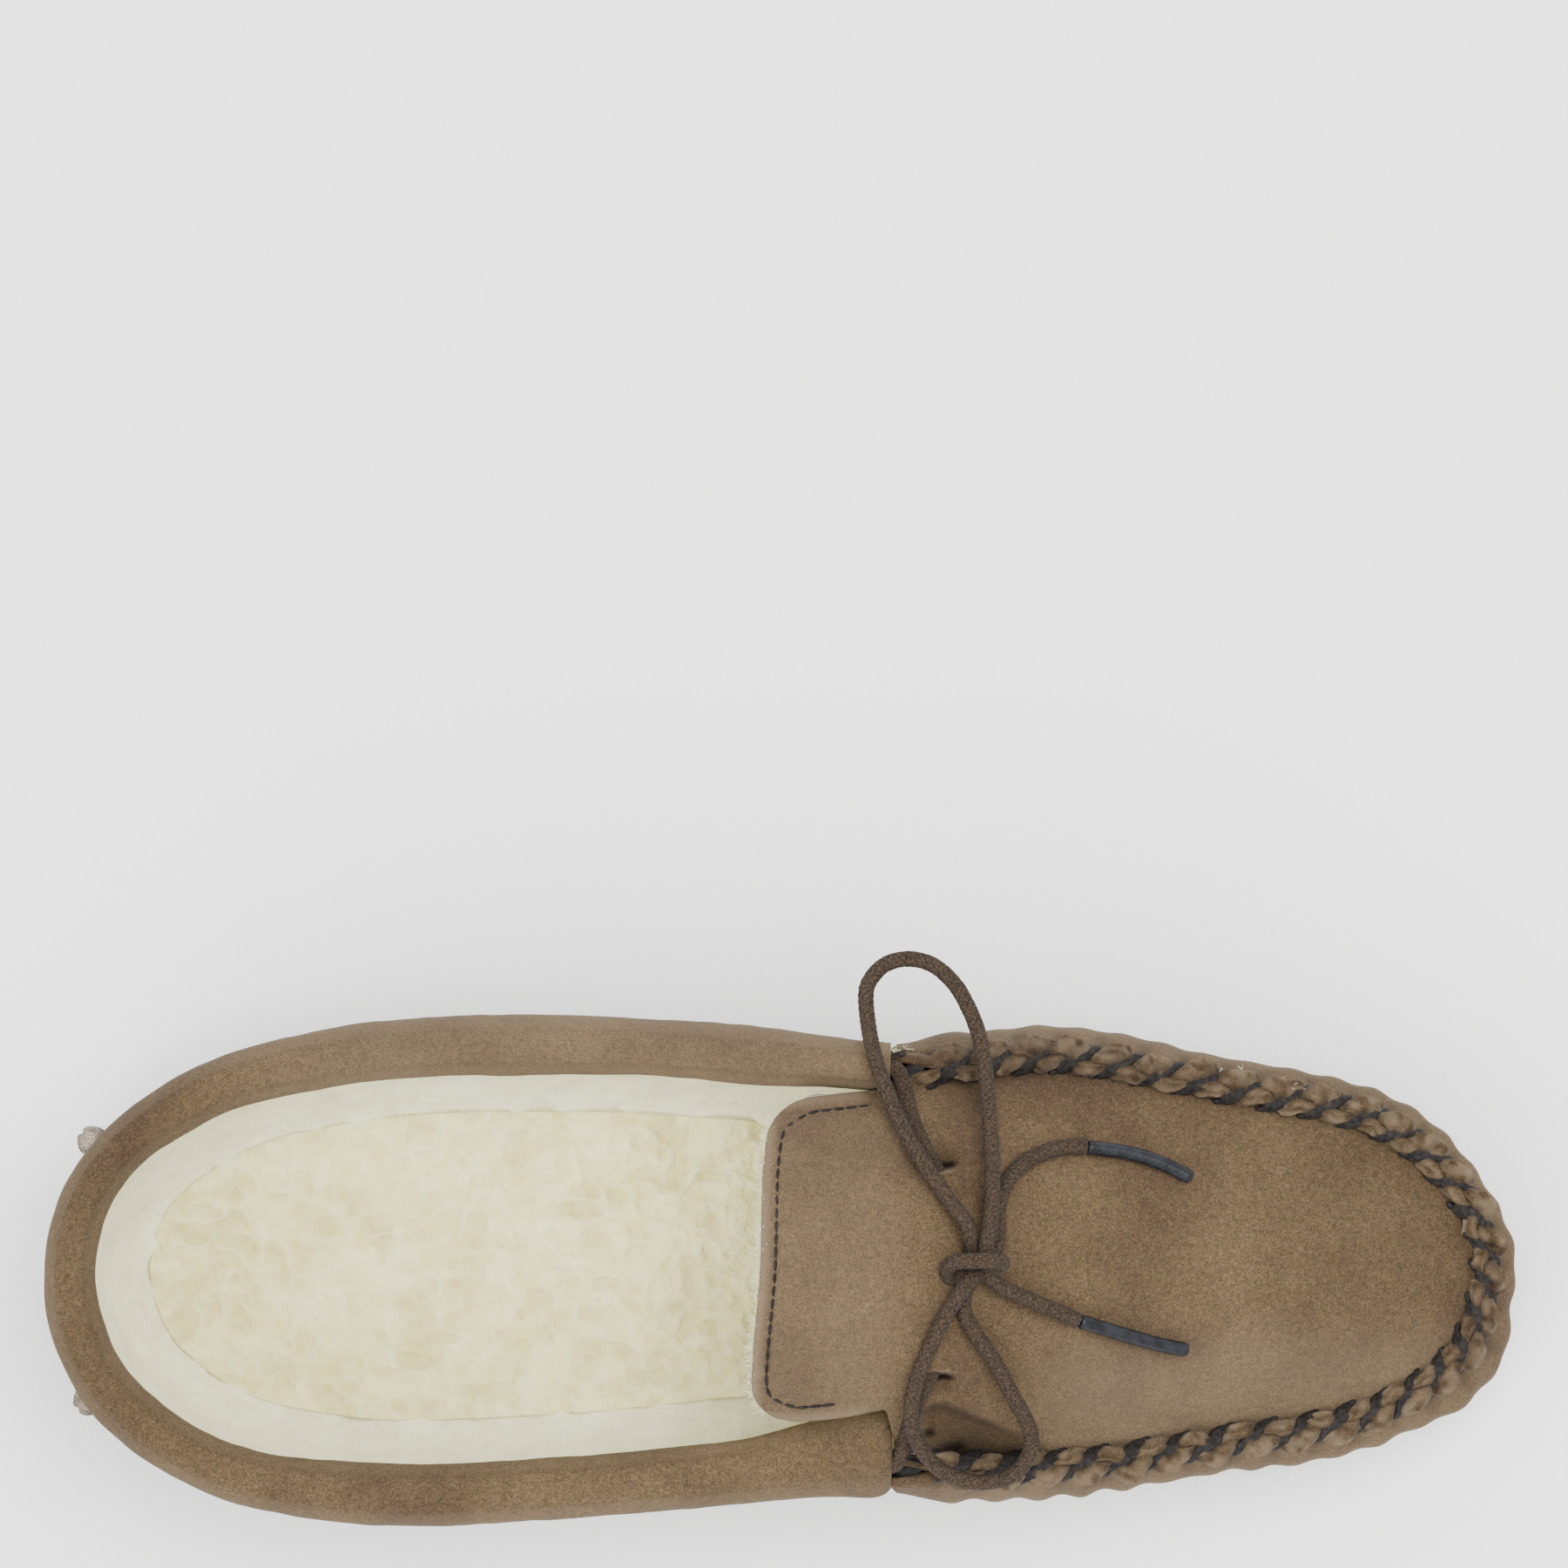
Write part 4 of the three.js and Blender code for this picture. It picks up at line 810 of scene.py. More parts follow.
def fleece_material(name, pale, deep, hollow, curl):
    """Wool pile: soft and matt with strong sheen; the hollows between locks are darker and yellower:
    painted shade with the wool's own yellower tone.
    """
    material, tree, shader = new_material(
        name, Roughness=1.0, Specular_IOR_Level=0.05, Sheen_Weight=0.35,
    )
    where = add_node(tree, "TexCoord").outputs["Object"]
    depth = add_node(tree, "Attribute", {"attribute_name": "depth"})
    lock = add_node(tree, "TexNoise", Vector=where, Scale=per(4.35), Detail=3, Distortion=0.8)
    hair = add_node(tree, "TexNoise", Vector=where, Scale=per(0.77), Detail=3, Roughness=0.65)
    tone = add_node(
        tree, "ValToRGB", {"stops": [(0.0, linear(hollow)), (0.75, linear(pale))]},
        Fac=depth.outputs["Fac"],
    )
    drift = add_node(
        tree, "ValToRGB", {"stops": [(0.35, linear(deep)), (0.62, (1, 1, 1, 1))]},
        Fac=lock.outputs["Fac"],
    )
    mixed = add_node(tree, "Mix", MULTIPLY, i0=curl, i6=tone.outputs[0], i7=drift.outputs[0])
    relief = add_node(
        tree, "Math", {"operation": "MULTIPLY_ADD"}, i0=lock.outputs["Fac"], i1=2.0 * curl,
        i2=hair.outputs["Fac"],
    )
    colour_and_relief(tree, shader, mixed.outputs[2], relief.outputs[0], 0.6, 1.2 * MM)
    return material


curly_wool = fleece_material("curly_lambswool", "#ece7b6", "#efe9c4", "#d3ca90", 0.7)
combed_wool = fleece_material("combed_lambswool", "#ebe8c6", "#f3f0da", "#d6d1ac", 0.3)


def two_sides(count_rear, count_front):
    """Stations from the toe back along the medial side and forward along the lateral side,
    paired across the shoe, and the points of the middle line that each pair shares."""
    toe = (fraction_at(135, 1) + fraction_at(135, -1)) / 2
    halves = []
    for side, toe_at, heel_at in ((-1, toe, 1.0), (1, toe, 0.0)):
        throat = fraction_at(12, side)
        halves.append(np.concatenate([
            np.linspace(heel_at, throat, count_rear), np.linspace(throat, toe_at, count_front)[1:],
        ]))
    medial, lateral = halves
    middle = 0.5 * (station(medial)[0][:, 0] + station(lateral)[0][:, 0])
    run = np.concatenate([medial[::-1], lateral[1:-1] + 1])
    return run, np.concatenate([middle[::-1], middle[1:-1]])


sock_run, middle_x = two_sides(320, 80)
edge_plan = wall_points(sock_run, SOCK_EDGE, 0.0)[..., :2]
spine = np.stack([np.clip(middle_x, -88, 90), np.full(len(edge_plan), -0.5)], 1)
share = np.linspace(0, 1, 82)[:, None, None]
sock_plan = edge_plan[None] + (spine - edge_plan)[None] * share
flat = np.concatenate([sock_plan, np.zeros((*sock_plan.shape[:2], 1))], -1)
warp = np.stack([noise(flat, 5.5, 11), noise(flat, 5.5, 12), 0 * flat[..., 0]], -1)
stretched = (flat + 1.9 * warp) * (0.72, 1, 1)
curls = 1 - np.abs(noise(stretched, 3.4, 13)) * 1.5
fine_curls = 1 - np.abs(noise(flat + 1.2 * warp, 1.7, 14)) * 1.5
locks = 0.75 * curls + 0.4 * fine_curls + 0.5 * noise(flat, 9, 15)
heel_dip = np.exp(-(((flat[..., 0] + 94) / 32) ** 2) - (flat[..., 1] / 20) ** 2)
from_edge = np.linalg.norm(sock_plan - edge_plan[None], axis=-1)
lift = SOCK_TOP + 1.25 * locks * (1 - 0.45 * heel_dip) * ease(from_edge, 0.3, 4) - 0.9 * heel_dip
lift = lift + (2.2 + 1.3 * noise(flat, 4, 16)) * np.exp(-((from_edge / 4.5) ** 2))
pile = np.concatenate([sock_plan, lift[..., None]], -1)
under = wall_points(sock_run[None, :], SOCK_EDGE, np.array([12.6, 14.5])[:, None])
# Darker and yellower in the hollows between locks and on the sock's tucked-in edge: painted shade with the
# wool's own yellower tone.
depth = np.concatenate([np.full(2 * len(sock_run), 0.6), np.clip(0.35 + 0.5 * locks, 0, 1).ravel(), [0]])
make_piece(
    "fleece_footbed", [ring_shape(np.concatenate([under, pile]), last_closed=False)], curly_wool,
    "shoe", ["fleece_sock"], {"depth": depth}, weld=True,
)

WOOL_ROWS = 110
wall_run = two_sides(170, 50)[0]
x_wall = station(wall_run)[0][:, 0]
top = wall_top(x_wall)
ahead = ease(x_wall, THROAT_X - 26, THROAT_X - 4)
drop = 7.1 * ahead
lower = np.maximum(top - drop * 0.6 - 12.5, 21.6)
WOOL_SECTION = (  # inset, height: up the wall, over the top, down the open face, under the sock
    (15, 12.8),
    (6.5, 24),
    (3.9 + 2.2 * ahead, top - drop - 6),
    (4 + 2 * ahead, top - drop - 0.6),
    (5.6 + 2 * ahead, top - drop),
    (7.7 + 1.6 * ahead, top - drop - 0.8),
    (8.1 + 2.4 * ahead, np.maximum(top - drop - 7, 21.9)),
    (9 + 2 * ahead, lower),
    (11.4 + 0.5 * ahead, np.minimum(31, lower - 0.2)),
    (13.9, np.minimum(25.5, lower - 0.5)),
    (17, np.minimum(21.4, lower - 0.8)),
    (20.2, 19.2),
    (22, 17.6),
    (19, 13.2),
)
wool = smooth_rows(
    np.stack([np.stack(np.broadcast_arrays(a, b, top)[:2], -1) for a, b in WOOL_SECTION]), WOOL_ROWS,
)
wool_face = wall_points(wall_run[None, :], wool[..., 0], wool[..., 1])
fuzz = 0.45 * noise(wool_face, 6, 21) + 0.3 * noise(wool_face, 2.2, 22) + 0.16 * noise(wool_face, 1.0, 23)
row = np.arange(WOOL_ROWS)[:, None]
showing = ease(row, 52, 62) * (1 - ease(row, 100, 106))
wool_face[..., :2] -= station(wall_run)[1][None] * (fuzz * showing)[..., None]
wool_face[..., 2] += 0.5 * fuzz * showing
# Darker and yellower where the pile dips: painted shade with the wool's own yellower tone.
depth = np.concatenate([np.clip(0.62 + 0.6 * fuzz, 0, 1).ravel(), [0.5, 0.5]])
make_piece(
    "fleece_wall", [ring_shape(wool_face)], combed_wool, "shoe", ["fleece_wall_lining"],
    {"depth": depth},
)

# ---------------------------------------------------------------- collar
# A strip of suede folded over the top edge from throat to throat, round the lace: a plump
# smooth roll above, and a flat leg down each face of the wall.
COLLAR_ABOVE_WALL = 5.8
COLLAR_ROWS = 64
collar_run = np.linspace(fraction_at(THROAT_X - 1.2, 1), fraction_at(THROAT_X - 1.2, -1) - 1, 760)
x_collar = station(collar_run)[0][:, 0]
lateral = station(collar_run)[0][:, 1] > 0
width = 9.8 + 1.6 * ease(x_collar, -0.5 * LENGTH, -0.25 * LENGTH)
width = width + (np.where(lateral, 8.8, 17.0) - width) * ease(x_collar, THROAT_X - 32, THROAT_X)
roll_top = wall_top(x_collar) + COLLAR_ABOVE_WALL
COLLAR_FORM = [  # inset in mm, its share of the width, height below the top
    (0, 0.02, -17), (0, 0, -11), (0, -0.02, -7), (0.25, 0.005, -4), (1, 0.06, -1.9),
    (0, 0.26, -0.45), (0, 0.5, 0), (0, 0.74, -0.45),
    (-1, 0.94, -1.9), (-0.25, 0.995, -4), (0, 1, -6.5), (0, 0.99, -9), (0, 0.97, -12.5),
]
fold = np.stack([np.stack([a + b * width, roll_top + c], -1) for a, b, c in COLLAR_FORM])
to_end = outline_length * np.minimum(collar_run[0] - collar_run, collar_run - collar_run[-1])
end = np.sqrt(1 - (1 - np.clip((to_end + 0.2) / 4.5, 0, 1)) ** 2)
pivot = np.where(lateral, 1.2, width / 2 + 0.5)
fold[..., 0] = pivot + (fold[..., 0] - pivot) * (0.72 + 0.28 * end)
fold[..., 1] -= 3.2 * (1 - end)
narrower = width / 2 + (fold[..., 0] - width / 2) * (1 - 2 * COLLAR_SUEDE / width)
under = np.stack([narrower, fold[..., 1] - COLLAR_SUEDE], -1)
fold, under = smooth_rows(fold, COLLAR_ROWS), smooth_rows(under, COLLAR_ROWS)
face = wall_points(collar_run[None, :], fold[..., 0], fold[..., 1])
lining = wall_points(collar_run[None, :], under[..., 0], under[..., 1])
out = np.linspace(1, -1, COLLAR_ROWS)[:, None]
wave = 0.42 * noise(face, 26, 31) + 0.2 * noise(face, 9, 32) + 0.1 * noise(face, 3.5, 33)
facing = np.sign(out) * np.minimum(1, np.abs(out) * 2.5)
face[..., :2] += station(collar_run)[1][None] * (wave * facing)[..., None]
face[..., 2] += wave * (1 - np.abs(out)) * 0.9
# Darker behind the heel; painted light along the lateral side, and paler on both shoulders of the roll.
shade = np.broadcast_to(0.22 * (1 - ease(x_collar, -140, -80)), wave.shape)
shoulders = 0.1 * np.exp(-(((np.abs(out) - 0.42) / 0.16) ** 2))
# Painted light on the lateral side.
rub = np.where(lateral, 0.1, 0) * ease(x_collar, -120, -80) + shoulders
blank = np.zeros(wave.shape)
make_piece(
    "collar_roll", [sheet_shape(face, lining)], suede, "shoe", ["collar"],
    {"shade": point_values(shade, blank), "rub": point_values(rub, blank)},
)

# ---------------------------------------------------------------- apron and tongue
# One piece of suede: the apron over the forefoot, its edge turned up and gathered against the
# wrap's, and the tongue behind it with a stitched hem. The lace goes through two slits.
APRON_DROP = 4.2
APRON_RISE_THROAT, APRON_RISE_TOE = 22, 1.5
TONGUE_SLOPE = 0.22
TONGUE_SIDES = {  # the tongue's edges: x, y
    "lateral": [(-8, 33.3), (0, 33.8), (4.4, 34.4), (12, 35.2), (17, 35.7)],
    "medial": [(-8, -28), (1.7, -28.4), (5.1, -28.3), (12, -27.6), (19, -26.2)],
}
TONGUE_BACK = [(-28.4, -6.3), (-17.9, -6.2), (1.7, -4.6), (20.4, -4.1), (27, -3.4), (34, -3.0)]
TONGUE_CORNER = 8
TONGUE_ROWS, APRON_ROWS, ACROSS = 54, 176, 144
RIDGE_FOOT_INSET = 8.0


def smooth_edge(points, at):
    """The second coordinate, at the given first ones, of a smooth line through points."""
    line = curve_through(points, 0.5)
    return np.interp(at, line[:, 0], line[:, 1])


def side_of_shoe(x, side, inset):
    """y at which one side of the outline, set in by inset (one for each point), crosses x."""
    line = (outline - outward * np.broadcast_to(inset, len(outline))[:, None])[TO_THE_TOE[side]]
    return np.interp(x, np.maximum.accumulate(line[:, 0]), line[:, 1])


def apron_edge(x, side):
    """The apron's edge under the ridge's foot, and behind the throat the tongue's edge."""
    name = "lateral" if side > 0 else "medial"
    foot = side_of_shoe(np.maximum(x, THROAT_X), side, RIDGE_FOOT_INSET - 1)
    tongue = smooth_edge(TONGUE_SIDES[name], np.minimum(x, 17 if side > 0 else 19))
    return tongue + (foot - tongue) * ease(x, 17.5 if side > 0 else 19.5, 21.5 if side > 0 else 22.5)


def crease_at(x):
    """y of the crease in which the apron turns down beside the throat's medial corner."""
    return -24.7 - 0.42 * np.clip(x - 31, 0, 30) - 0.5 * np.clip(29 - x, 0, 6)


def apron_height(x, y):
    """Height of the apron: an arch (1 - q^2)^0.9 between its edges, lower towards the toe,
    that rises gently behind the throat to the tongue's back edge; at the throat's medial
    corner it is pulled down beside the lace, behind a crease."""
    at = np.maximum(x, THROAT_X)
    inset = 4.7 + 3.2 * ease(outline[:, 0], THROAT_X, THROAT_X + THROAT_BLEND)
    lateral, medial = side_of_shoe(at, 1, inset), side_of_shoe(at, -1, inset)
    middle, half = (lateral + medial) / 2, (lateral - medial) / 2
    q = np.minimum(1, np.abs(y - middle) / np.maximum(half, 8))
    rise = APRON_RISE_THROAT + (APRON_RISE_TOE - APRON_RISE_THROAT) * (at - THROAT_X) / 114
    height = wall_top(at) - APRON_DROP + rise * (1 - q * q) ** 0.9 + TONGUE_SLOPE * (at - x)
    crease = crease_at(x)
    window = ease(x, 23, 29) * (1 - ease(x, 43, 53))
    beyond = ease(crease - y, -0.2, 1.8)
    return height - window * (2.5 * beyond - 0.35 * np.exp(-(((y - crease - 1.2) / 1.5) ** 2)))


def spread(count, low, high, places, width, weight):
    """count values from low to high, closer together near the given places."""
    fine = np.linspace(low, high, 4000)
    density = 1 + sum(weight * np.exp(-(((fine - place) / width) ** 2)) for place in places)
    run = np.concatenate([[0], np.cumsum((density[1:] + density[:-1]) / 2)])
    return np.interp(np.linspace(0, run[-1], count), run, fine)


across = spread(ACROSS, 0, 1, (0.255, 0.765), 0.05, 1.6)
t = 2 * across - 1
corner = TONGUE_CORNER * (1 - np.sqrt(1 - np.clip((np.abs(t) - 0.76) / 0.24, 0, 1) ** 2))
back_y = 34 - 62.4 * across
back_x = smooth_edge(TONGUE_BACK, back_y) + corner
along = np.linspace(0, 1, TONGUE_ROWS)[:-1, None]
tongue_x = back_x + (THROAT_X - back_x) * along
toe_inset_x = float((outline[:, 0] - outward[:, 0] * (RIDGE_FOOT_INSET - 1)).max()) - 0.4
apron_x = spread(APRON_ROWS, THROAT_X, toe_inset_x, (30.5,), 5, 1.6)
turned = np.clip((apron_x - 110) / (toe_inset_x - 110), 0, 1)
apron_x = np.where(turned > 0, 110 + (toe_inset_x - 110) * np.sin(turned * np.pi / 2), apron_x)
sheet_x = np.concatenate([tongue_x, np.broadcast_to(apron_x[:, None], (APRON_ROWS, ACROSS))])
sheet_y = apron_edge(sheet_x, 1) * (1 - across) + apron_edge(sheet_x, -1) * across
sheet_z = apron_height(sheet_x, sheet_y)
plan = np.stack([sheet_x, sheet_y, 0 * sheet_x], -1)
sheet_z = sheet_z + 0.35 * noise(plan, 21, 41) + 0.12 * noise(plan, 7, 42)
# The slits: short curved cuts whose front lip stands up and whose back lip is pressed down.
shade = np.zeros(sheet_x.shape)
rub = np.zeros(sheet_x.shape)
for centre_x, centre_y, bow, away in ((30.9, 21.5, 0.5, 1), (30.3, -19.9, -0.4, -1)):
    u = (sheet_x - centre_x) / 2.5
    v = (sheet_y - centre_y + bow * (1 - u * u)) * away
    reach = np.exp(-(u**4))
    sheet_z = sheet_z - 2.4 * reach * np.exp(-((v / 0.62) ** 2))
    sheet_z = sheet_z - 0.7 * reach * ease(v, -0.2, 0.9) * (1 - ease(v, 1.5, 6))
    sheet_z = sheet_z + 0.45 * reach * np.exp(-(((v + 1.1) / 0.6) ** 2))
    # Painted shade in the cut and on the pressed-down back lip, and a painted highlight on the raised
    # front lip.
    shade = shade + reach * (np.exp(-((v / 0.6) ** 2)) + 0.45 * ease(v, 0, 0.5) * (1 - ease(v, 1, 5)))
    rub = rub + 0.26 * reach * np.exp(-(((v + 0.9) / 0.35) ** 2))
# Painted shade along the ridge's foot, towards the toe, between the slits under the knot, in the crease
# and in two small awl holes beside it; painted light on the apron's medial side, and the nap rubbed paler
# on the tongue.
edge_near = np.minimum(sheet_y - apron_edge(sheet_x, -1), apron_edge(sheet_x, 1) - sheet_y)
shade = shade + 0.75 * np.exp(-((edge_near / 1.6) ** 2)) * ease(sheet_x, THROAT_X, THROAT_X + 6)
shade = shade + 0.4 * np.exp(-(((sheet_x - toe_inset_x) / 2.0) ** 2))
shade = shade + 0.22 * ease(sheet_x, 88, 125) * ease(sheet_y, -22, 0)
shade = shade + 0.2 * np.exp(-(((sheet_x - 38) / 16) ** 2) - ((sheet_y - 2) / 14) ** 2)
# Painted light on the medial side.
rub = rub + 0.14 * (1 - ease(sheet_y, -22, -4)) * ease(sheet_x, 40, 60)
rub = rub + 0.08 * (1 - ease(sheet_x, 16, 30))
past_crease = crease_at(sheet_x) - sheet_y
in_fold = ease(sheet_x, 24, 29) * (1 - ease(sheet_x, 38, 50))
shade = shade + in_fold * 0.42 * ease(past_crease, 0, 1)
shade = shade + in_fold * 0.3 * np.exp(-(((past_crease - 0.7) / 0.9) ** 2))
for hole_x, hole_y, long in ((28.2, -31, 1.0), (33.2, -33.9, 2.0)):
    hole = np.exp(-(((sheet_x - hole_x) / long) ** 2) - ((sheet_y - hole_y) / 0.8) ** 2)
    shade, sheet_z = shade + hole, sheet_z - 1.2 * hole
hem_line = np.minimum(np.minimum(edge_near, 20), sheet_x - smooth_edge(TONGUE_BACK, sheet_y))
hem = np.exp(-(((hem_line - 2.9) / 0.5) ** 2)) * (1 - ease(sheet_x, 12, 17))
sheet_z = sheet_z - 0.35 * hem
rub = rub + 0.25 * (1 - ease(hem_line, 0.4, 2.6)) * (1 - ease(sheet_x, 14, 18))
top_face = np.stack([sheet_x, sheet_y, sheet_z], -1)
under_face = top_face - (0, 0, SUEDE)
tongue_edge = (1 - ease(sheet_x, 16, 20))[..., None]
rounding = np.exp(-((np.clip(hem_line, 0, 9) / 0.7) ** 2))[..., None] * tongue_edge
top_face = top_face - rounding * (0, 0, 0.5)
# The ridge's inner half: the apron's own edge, turned up against the wrap's.
inner_section = smooth_rows(np.array([  # inset, height above the wall's top
    (5.37, -3), (5.45, -0.9), (5.75, -0.05), (6.4, 0.1), (7.5, -0.4), (8.2, -1.5),
    (8.5, -2.8), (8.3, -3.9), (7.6, -5.2),
]), RIDGE_ROWS)
edge_run = fore[7:-7]
edge, edge_dark = ridge_points(edge_run, inner_section, np.linspace(-0.02, -1.15, RIDGE_ROWS))
edge_x = station(edge_run)[0][:, 0]
under_edge = wall_points(
    edge_run[None, :], np.interp(up_ridge, [0, 1], [5.6, 7.2]),
    wall_top(edge_x)[None, :] + np.interp(up_ridge, [0, 1], [-4.2, -5.6]),
)
edge_crest = np.interp(up_ridge, [0, 0.2, 0.45, 0.7, 1], [0, 0, 0.35, 0.5, 0.1])
# Painted shade in the groove where it meets the wrap's half, deepest at its foot on the apron.
edge_shade = edge_dark + np.interp(up_ridge, [0, 0.25, 0.75, 0.9, 1], [0.35, 0.05, 0, 0.4, 0.95])
edge_rub = 0.6 * edge_crest * np.clip(0.5 + 0.9 * noise(edge, 1.6, 9), 0, 1)
blank, blank_edge = np.zeros(shade.shape), np.zeros(edge_shade.shape)
apron = make_piece(
    "apron_and_tongue", [sheet_shape(top_face, under_face), sheet_shape(edge, under_edge)], suede,
    None, ["apron", "tongue"],
    {
        "shade": point_values(shade, blank, edge_shade, blank_edge),
        "rub": point_values(rub, blank, edge_rub, blank_edge),
    },
)
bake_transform(apron)

# The fleece under both: the same sheet, further down and 4.5 mm thick, its cut edge woolly
# along the tongue's back.
FLEECE_APRON = 4.5
fleece_top = under_face[::2, ::3].copy()
fleece_low = fleece_top - (0, 0, FLEECE_APRON)
fleece_x = fleece_top[..., 0].copy()
room = 4.1 * (1 - ease(fleece_x, 44, 56)) * ease(fleece_x, THROAT_X, THROAT_X + 4) + GAP
middle_y = (apron_edge(fleece_x, 1) + apron_edge(fleece_x, -1)) / 2
squeeze = 1 - 0.17 * ease(fleece_x, THROAT_X - 2, THROAT_X + 6)
for layer in (fleece_top, fleece_low):
    layer[..., 1] = middle_y + (layer[..., 1] - middle_y) * squeeze
    layer[..., 2] -= room
    layer[..., 0] -= 0.06 * np.maximum(layer[..., 0] - THROAT_X, 0)
fleece_low += 0.55 * np.stack([noise(fleece_low, 3, seed) for seed in (51, 52, 53)], -1)
apron_fleece = make_piece(
    "apron_fleece", [sheet_shape(fleece_top, fleece_low)], combed_wool, None,
    ["fleece_apron_lining", "fleece_tongue_lining"], {"depth": np.full(2 * fleece_x.size, 0.75)},
)
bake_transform(apron_fleece)

# ---------------------------------------------------------------- whip thread
# Thick waxed thread, nearly black, flattened by the pull: it comes out at the ridge's inner
# foot, crosses the ridge on a slant and goes in again on the outer side, further on.
THREAD_WIDTH, THREAD_THICK = 2.7, 0.9
WHIP_PATH = [  # across, inset, height above the wall's top
    (-1.75, 8.9, -4.6), (-1.55, 8.9, -3.6), (-1.25, 8.6, -2.8), (-0.92, 7.8, -1.9),
    (-0.55, 6.7, -1.05), (-0.1, 5.6, -0.85), (0.35, 4.6, -1.15), (0.75, 3.7, -2.1),
    (0.95, 3.1, -3.1), (1.05, 2.9, -4),
]
thread_finish, tree, shader = new_material("waxed_thread", Roughness=0.75, Specular_IOR_Level=0.2)
where = add_node(tree, "TexCoord").outputs["Object"]
wax = add_node(tree, "TexNoise", Vector=where, Scale=per(0.91), Detail=3)
tone = add_node(
    tree, "ValToRGB", {"stops": [(0.35, linear("#0e0c0b")), (0.75, linear("#2b2725"))]},
    Fac=wax.outputs["Fac"],
)
colour_and_relief(tree, shader, tone.outputs[0], wax.outputs["Fac"], 0.5, 0.2 * MM)


def ribbon_shape(line, up, width, thick, strands=3, sides=24):
    """Flat thread: an oval of the given widths round the line, up giving its flat side, with a
    groove between each two strands that lie side by side in it."""
    tangent = np.gradient(line, axis=0)
    tangent /= np.linalg.norm(tangent, axis=1)[:, None]
    side = np.cross(tangent, up)
    side /= np.linalg.norm(side, axis=1)[:, None]
    above = np.cross(side, tangent)
    angle = np.arange(sides) / sides * 2 * np.pi
    groove = 1 - 0.28 * np.abs(np.cos(strands * np.pi * (0.5 + 0.5 * np.cos(angle)))) ** 6
    width, thick = [np.broadcast_to(v, len(line))[:, None, None] for v in (width, thick)]
    flat = side[:, None] * np.cos(angle)[None, :, None] * width / 2
    rise = above[:, None] * (np.sin(angle) * groove)[None, :, None] * thick / 2
    return ring_shape(line[:, None] + flat + rise)


whip_shapes = []
path = smooth_rows(np.array(WHIP_PATH), 30)
for turn in range(whip_turns + 1):
    fraction = whip_from + (whip_to - whip_from) / whip_turns * (turn + WHIP_SLANT * path[:, 0])
    line = wall_points(fraction, path[:, 1], wall_top(station(fraction)[0][:, 0]) + path[:, 2])
    lying = ease(path[:, 1], 8.2, 8.7)
    seat = apron_height(line[:, 0], line[:, 1]) + 0.2 - 1.5 * ease(-path[:, 0], 1.5, 1.75)
    line[:, 2] += lying * (seat - line[:, 2])
    slack = rng.uniform(-0.25, 0.25, 2)
    line[:, :2] += slack * np.sin(np.linspace(0, np.pi, len(line)))[:, None]
    middle = station(fraction)[0] - station(fraction)[1] * RIDGE_MIDDLE_INSET
    up = np.column_stack([0.55 * (line[:, :2] - middle), np.full(len(line), 1.4)])
    taper = np.interp(path[:, 0], [-1.75, -1.3, -0.75, 0.3, 1.05], [0.3, 0.8, 1.2, 0.9, 0.45])
    whip_shapes.append(ribbon_shape(line, up, THREAD_WIDTH * taper, THREAD_THICK))
make_piece("whip_stitches", whip_shapes, thread_finish, "shoe", ["whip_thread"])

# ---------------------------------------------------------------- tongue hem stitch
# A lockstitch of dark thread 3 mm inside the tongue's edge, each stitch sunk at its ends.
HEM_INSET, HEM_STITCH, HEM_THREAD = 2.9, 2.7, 0.5
HEM_ENDS = TONGUE_ROWS - 18
border = np.concatenate([top_face[HEM_ENDS:0:-1, 0], top_face[0], top_face[1:HEM_ENDS, -1]])
border = curve_through(border[::6, :2], 0.4)
turned = np.gradient(border, axis=0)
turned /= np.linalg.norm(turned, axis=1)[:, None]
hem_route = curve_through((border + np.stack([-turned[:, 1], turned[:, 0]], 1) * HEM_INSET)[::8], 0.25)
hem_shapes = []
per_stitch = int(HEM_STITCH / 0.25)
for start in range(0, len(hem_route) - per_stitch, per_stitch):
    run = hem_route[start : start + per_stitch + 1]
    bow = np.sin(np.linspace(0, np.pi, len(run)))
    height = apron_height(run[:, 0], run[:, 1]) - 0.55 + 0.62 * bow**0.5
    line = np.column_stack([run, height])
    wide = HEM_THREAD * (0.55 + 0.45 * bow)
    hem_shapes.append(ribbon_shape(line, np.tile((0, 0, 1.0), (len(line), 1)), wide * 1.25, wide, 2, 12))
make_piece("tongue_hem", hem_shapes, thread_finish, "tongue_flap", ["tongue_hem_stitch"])

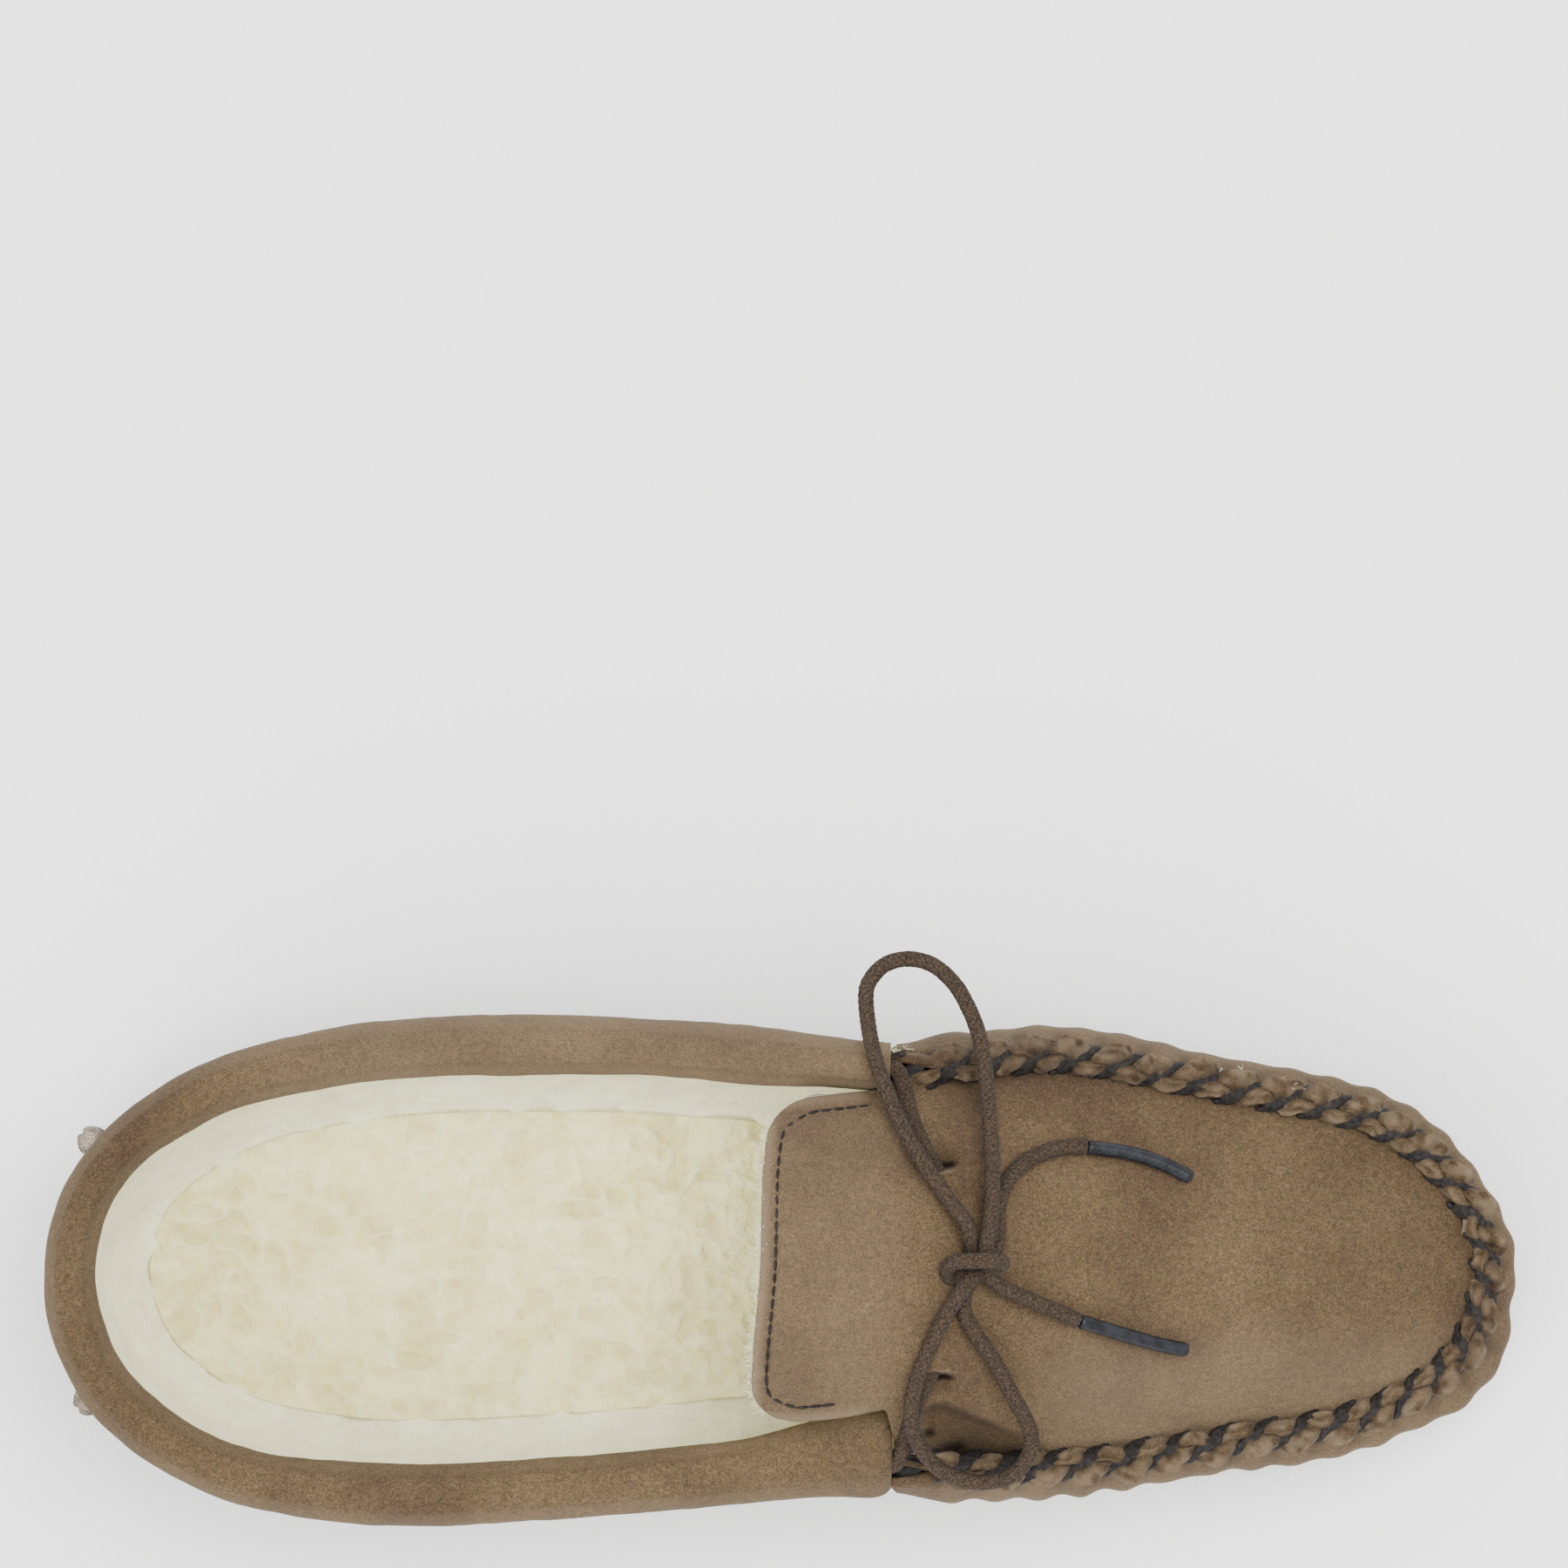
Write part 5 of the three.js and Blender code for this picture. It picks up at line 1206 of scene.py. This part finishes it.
# ---------------------------------------------------------------- collar tacks and wool ends
# Each front end of the collar is tacked down with a few wraps of thread. Wool from the lining
# stands out where it was cut: along the tongue's back edge, at the tacks, at two or three
# stitches and in the heel seams.
TACKS = {  # from and to: x, y, z
    "lateral": [(19.6, 42, 58.2), (23.6, 43, 55.8)],
    "medial": [(22.4, -35.2, 59), (27, -36.6, 56)],
}
for side, (start, end) in TACKS.items():
    shapes = []
    start, end = np.array(start), np.array(end)
    for wrap_number in range(3):
        slide = np.array((0, 0.5 * (wrap_number - 1), 0)) + rng.uniform(-0.25, 0.25, 3)
        bow = np.sin(np.linspace(0, np.pi, 14))[:, None]
        line = start + slide + (end - start) * np.linspace(0, 1, 14)[:, None]
        line = line + (0, 0, 0.9) * bow - (0, 0, 0.9) * (bow < 0.3)
        shapes.append(ribbon_shape(line, np.tile((0, 0.2, 1.0), (14, 1)), 0.5, 0.42, 1, 10))
    make_piece(f"collar_bar_tack_{side}", shapes, thread_finish, "shoe", [f"collar_tack_{side}"])


def wool_ends(name, roots, lean, length, body):
    """Short crimped wool hairs, each a thin four-sided tube from its root along lean."""
    shapes = []
    step = np.linspace(0, 1, 7)[:, None]
    for root in roots:
        aim = np.array(lean) + rng.normal(0, 0.55, 3)
        aim /= np.linalg.norm(aim)
        curl = rng.normal(0, 0.28, 3)
        line = root + aim * length * rng.uniform(0.5, 1.15) * step + curl * np.sin(np.pi * 1.6 * step)
        shapes.append(tube_shape(line, 4, lambda angle, run: 0.095 * (1 - 0.6 * run / run[-1])))
    points = sum(len(shape[0]) for shape in shapes)
    make_piece(name, shapes, combed_wool, body, (), {"depth": np.full(points, 1.0)})


share = rng.uniform(0.06, 0.97, 520)
roots = np.column_stack([np.interp(share, across, top_face[0, :, k]) for k in range(3)])
wool_ends("wool_at_tongue", roots + (0.3, 0, -1.5), (-0.75, 0, 1), 2.0, "tongue_flap")
ridge_wool = []
for place, count, room in (
    ((89.5, 38.2, 0), 14, 1.3), ((97, 36.4, 0), 12, 0.9),
    ((20.5, 43, 0), 40, 1.6), ((23.5, -36, 0), 26, 1.5),
):
    spots = np.array(place) + rng.normal(0, room, (count, 3)) * (1, 0.55, 0)
    ridge_wool.append(np.column_stack([spots[:, :2], wall_top(spots[:, 0]) - 2.6]))
wool_ends("wool_at_ridge", np.concatenate(ridge_wool), (0.2, 0.2, 0.9), 2.2, "shoe")
heel_wool = []
for at in (heel_stop, heel_start):
    point, normal = [v[0] for v in station(np.array([at]))]
    height = rng.uniform(36, 45, 26)
    spread_out = rng.normal(0, 1.2, (26, 1)) * (-normal[1], normal[0])
    heel_wool.append(np.column_stack([point + normal * 0.6 + spread_out, height]))
wool_ends("wool_at_heel", np.concatenate(heel_wool), (-1, 0, 0.3), 2.0, "shoe")

# ---------------------------------------------------------------- lace in the collar
# The same cord, out of sight in the collar's fold from one end of the throat to the other.
hidden_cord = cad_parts["lace_in_collar"]
hidden_cord.data.materials.clear()
hidden_cord.data.materials.append(cord_finish)
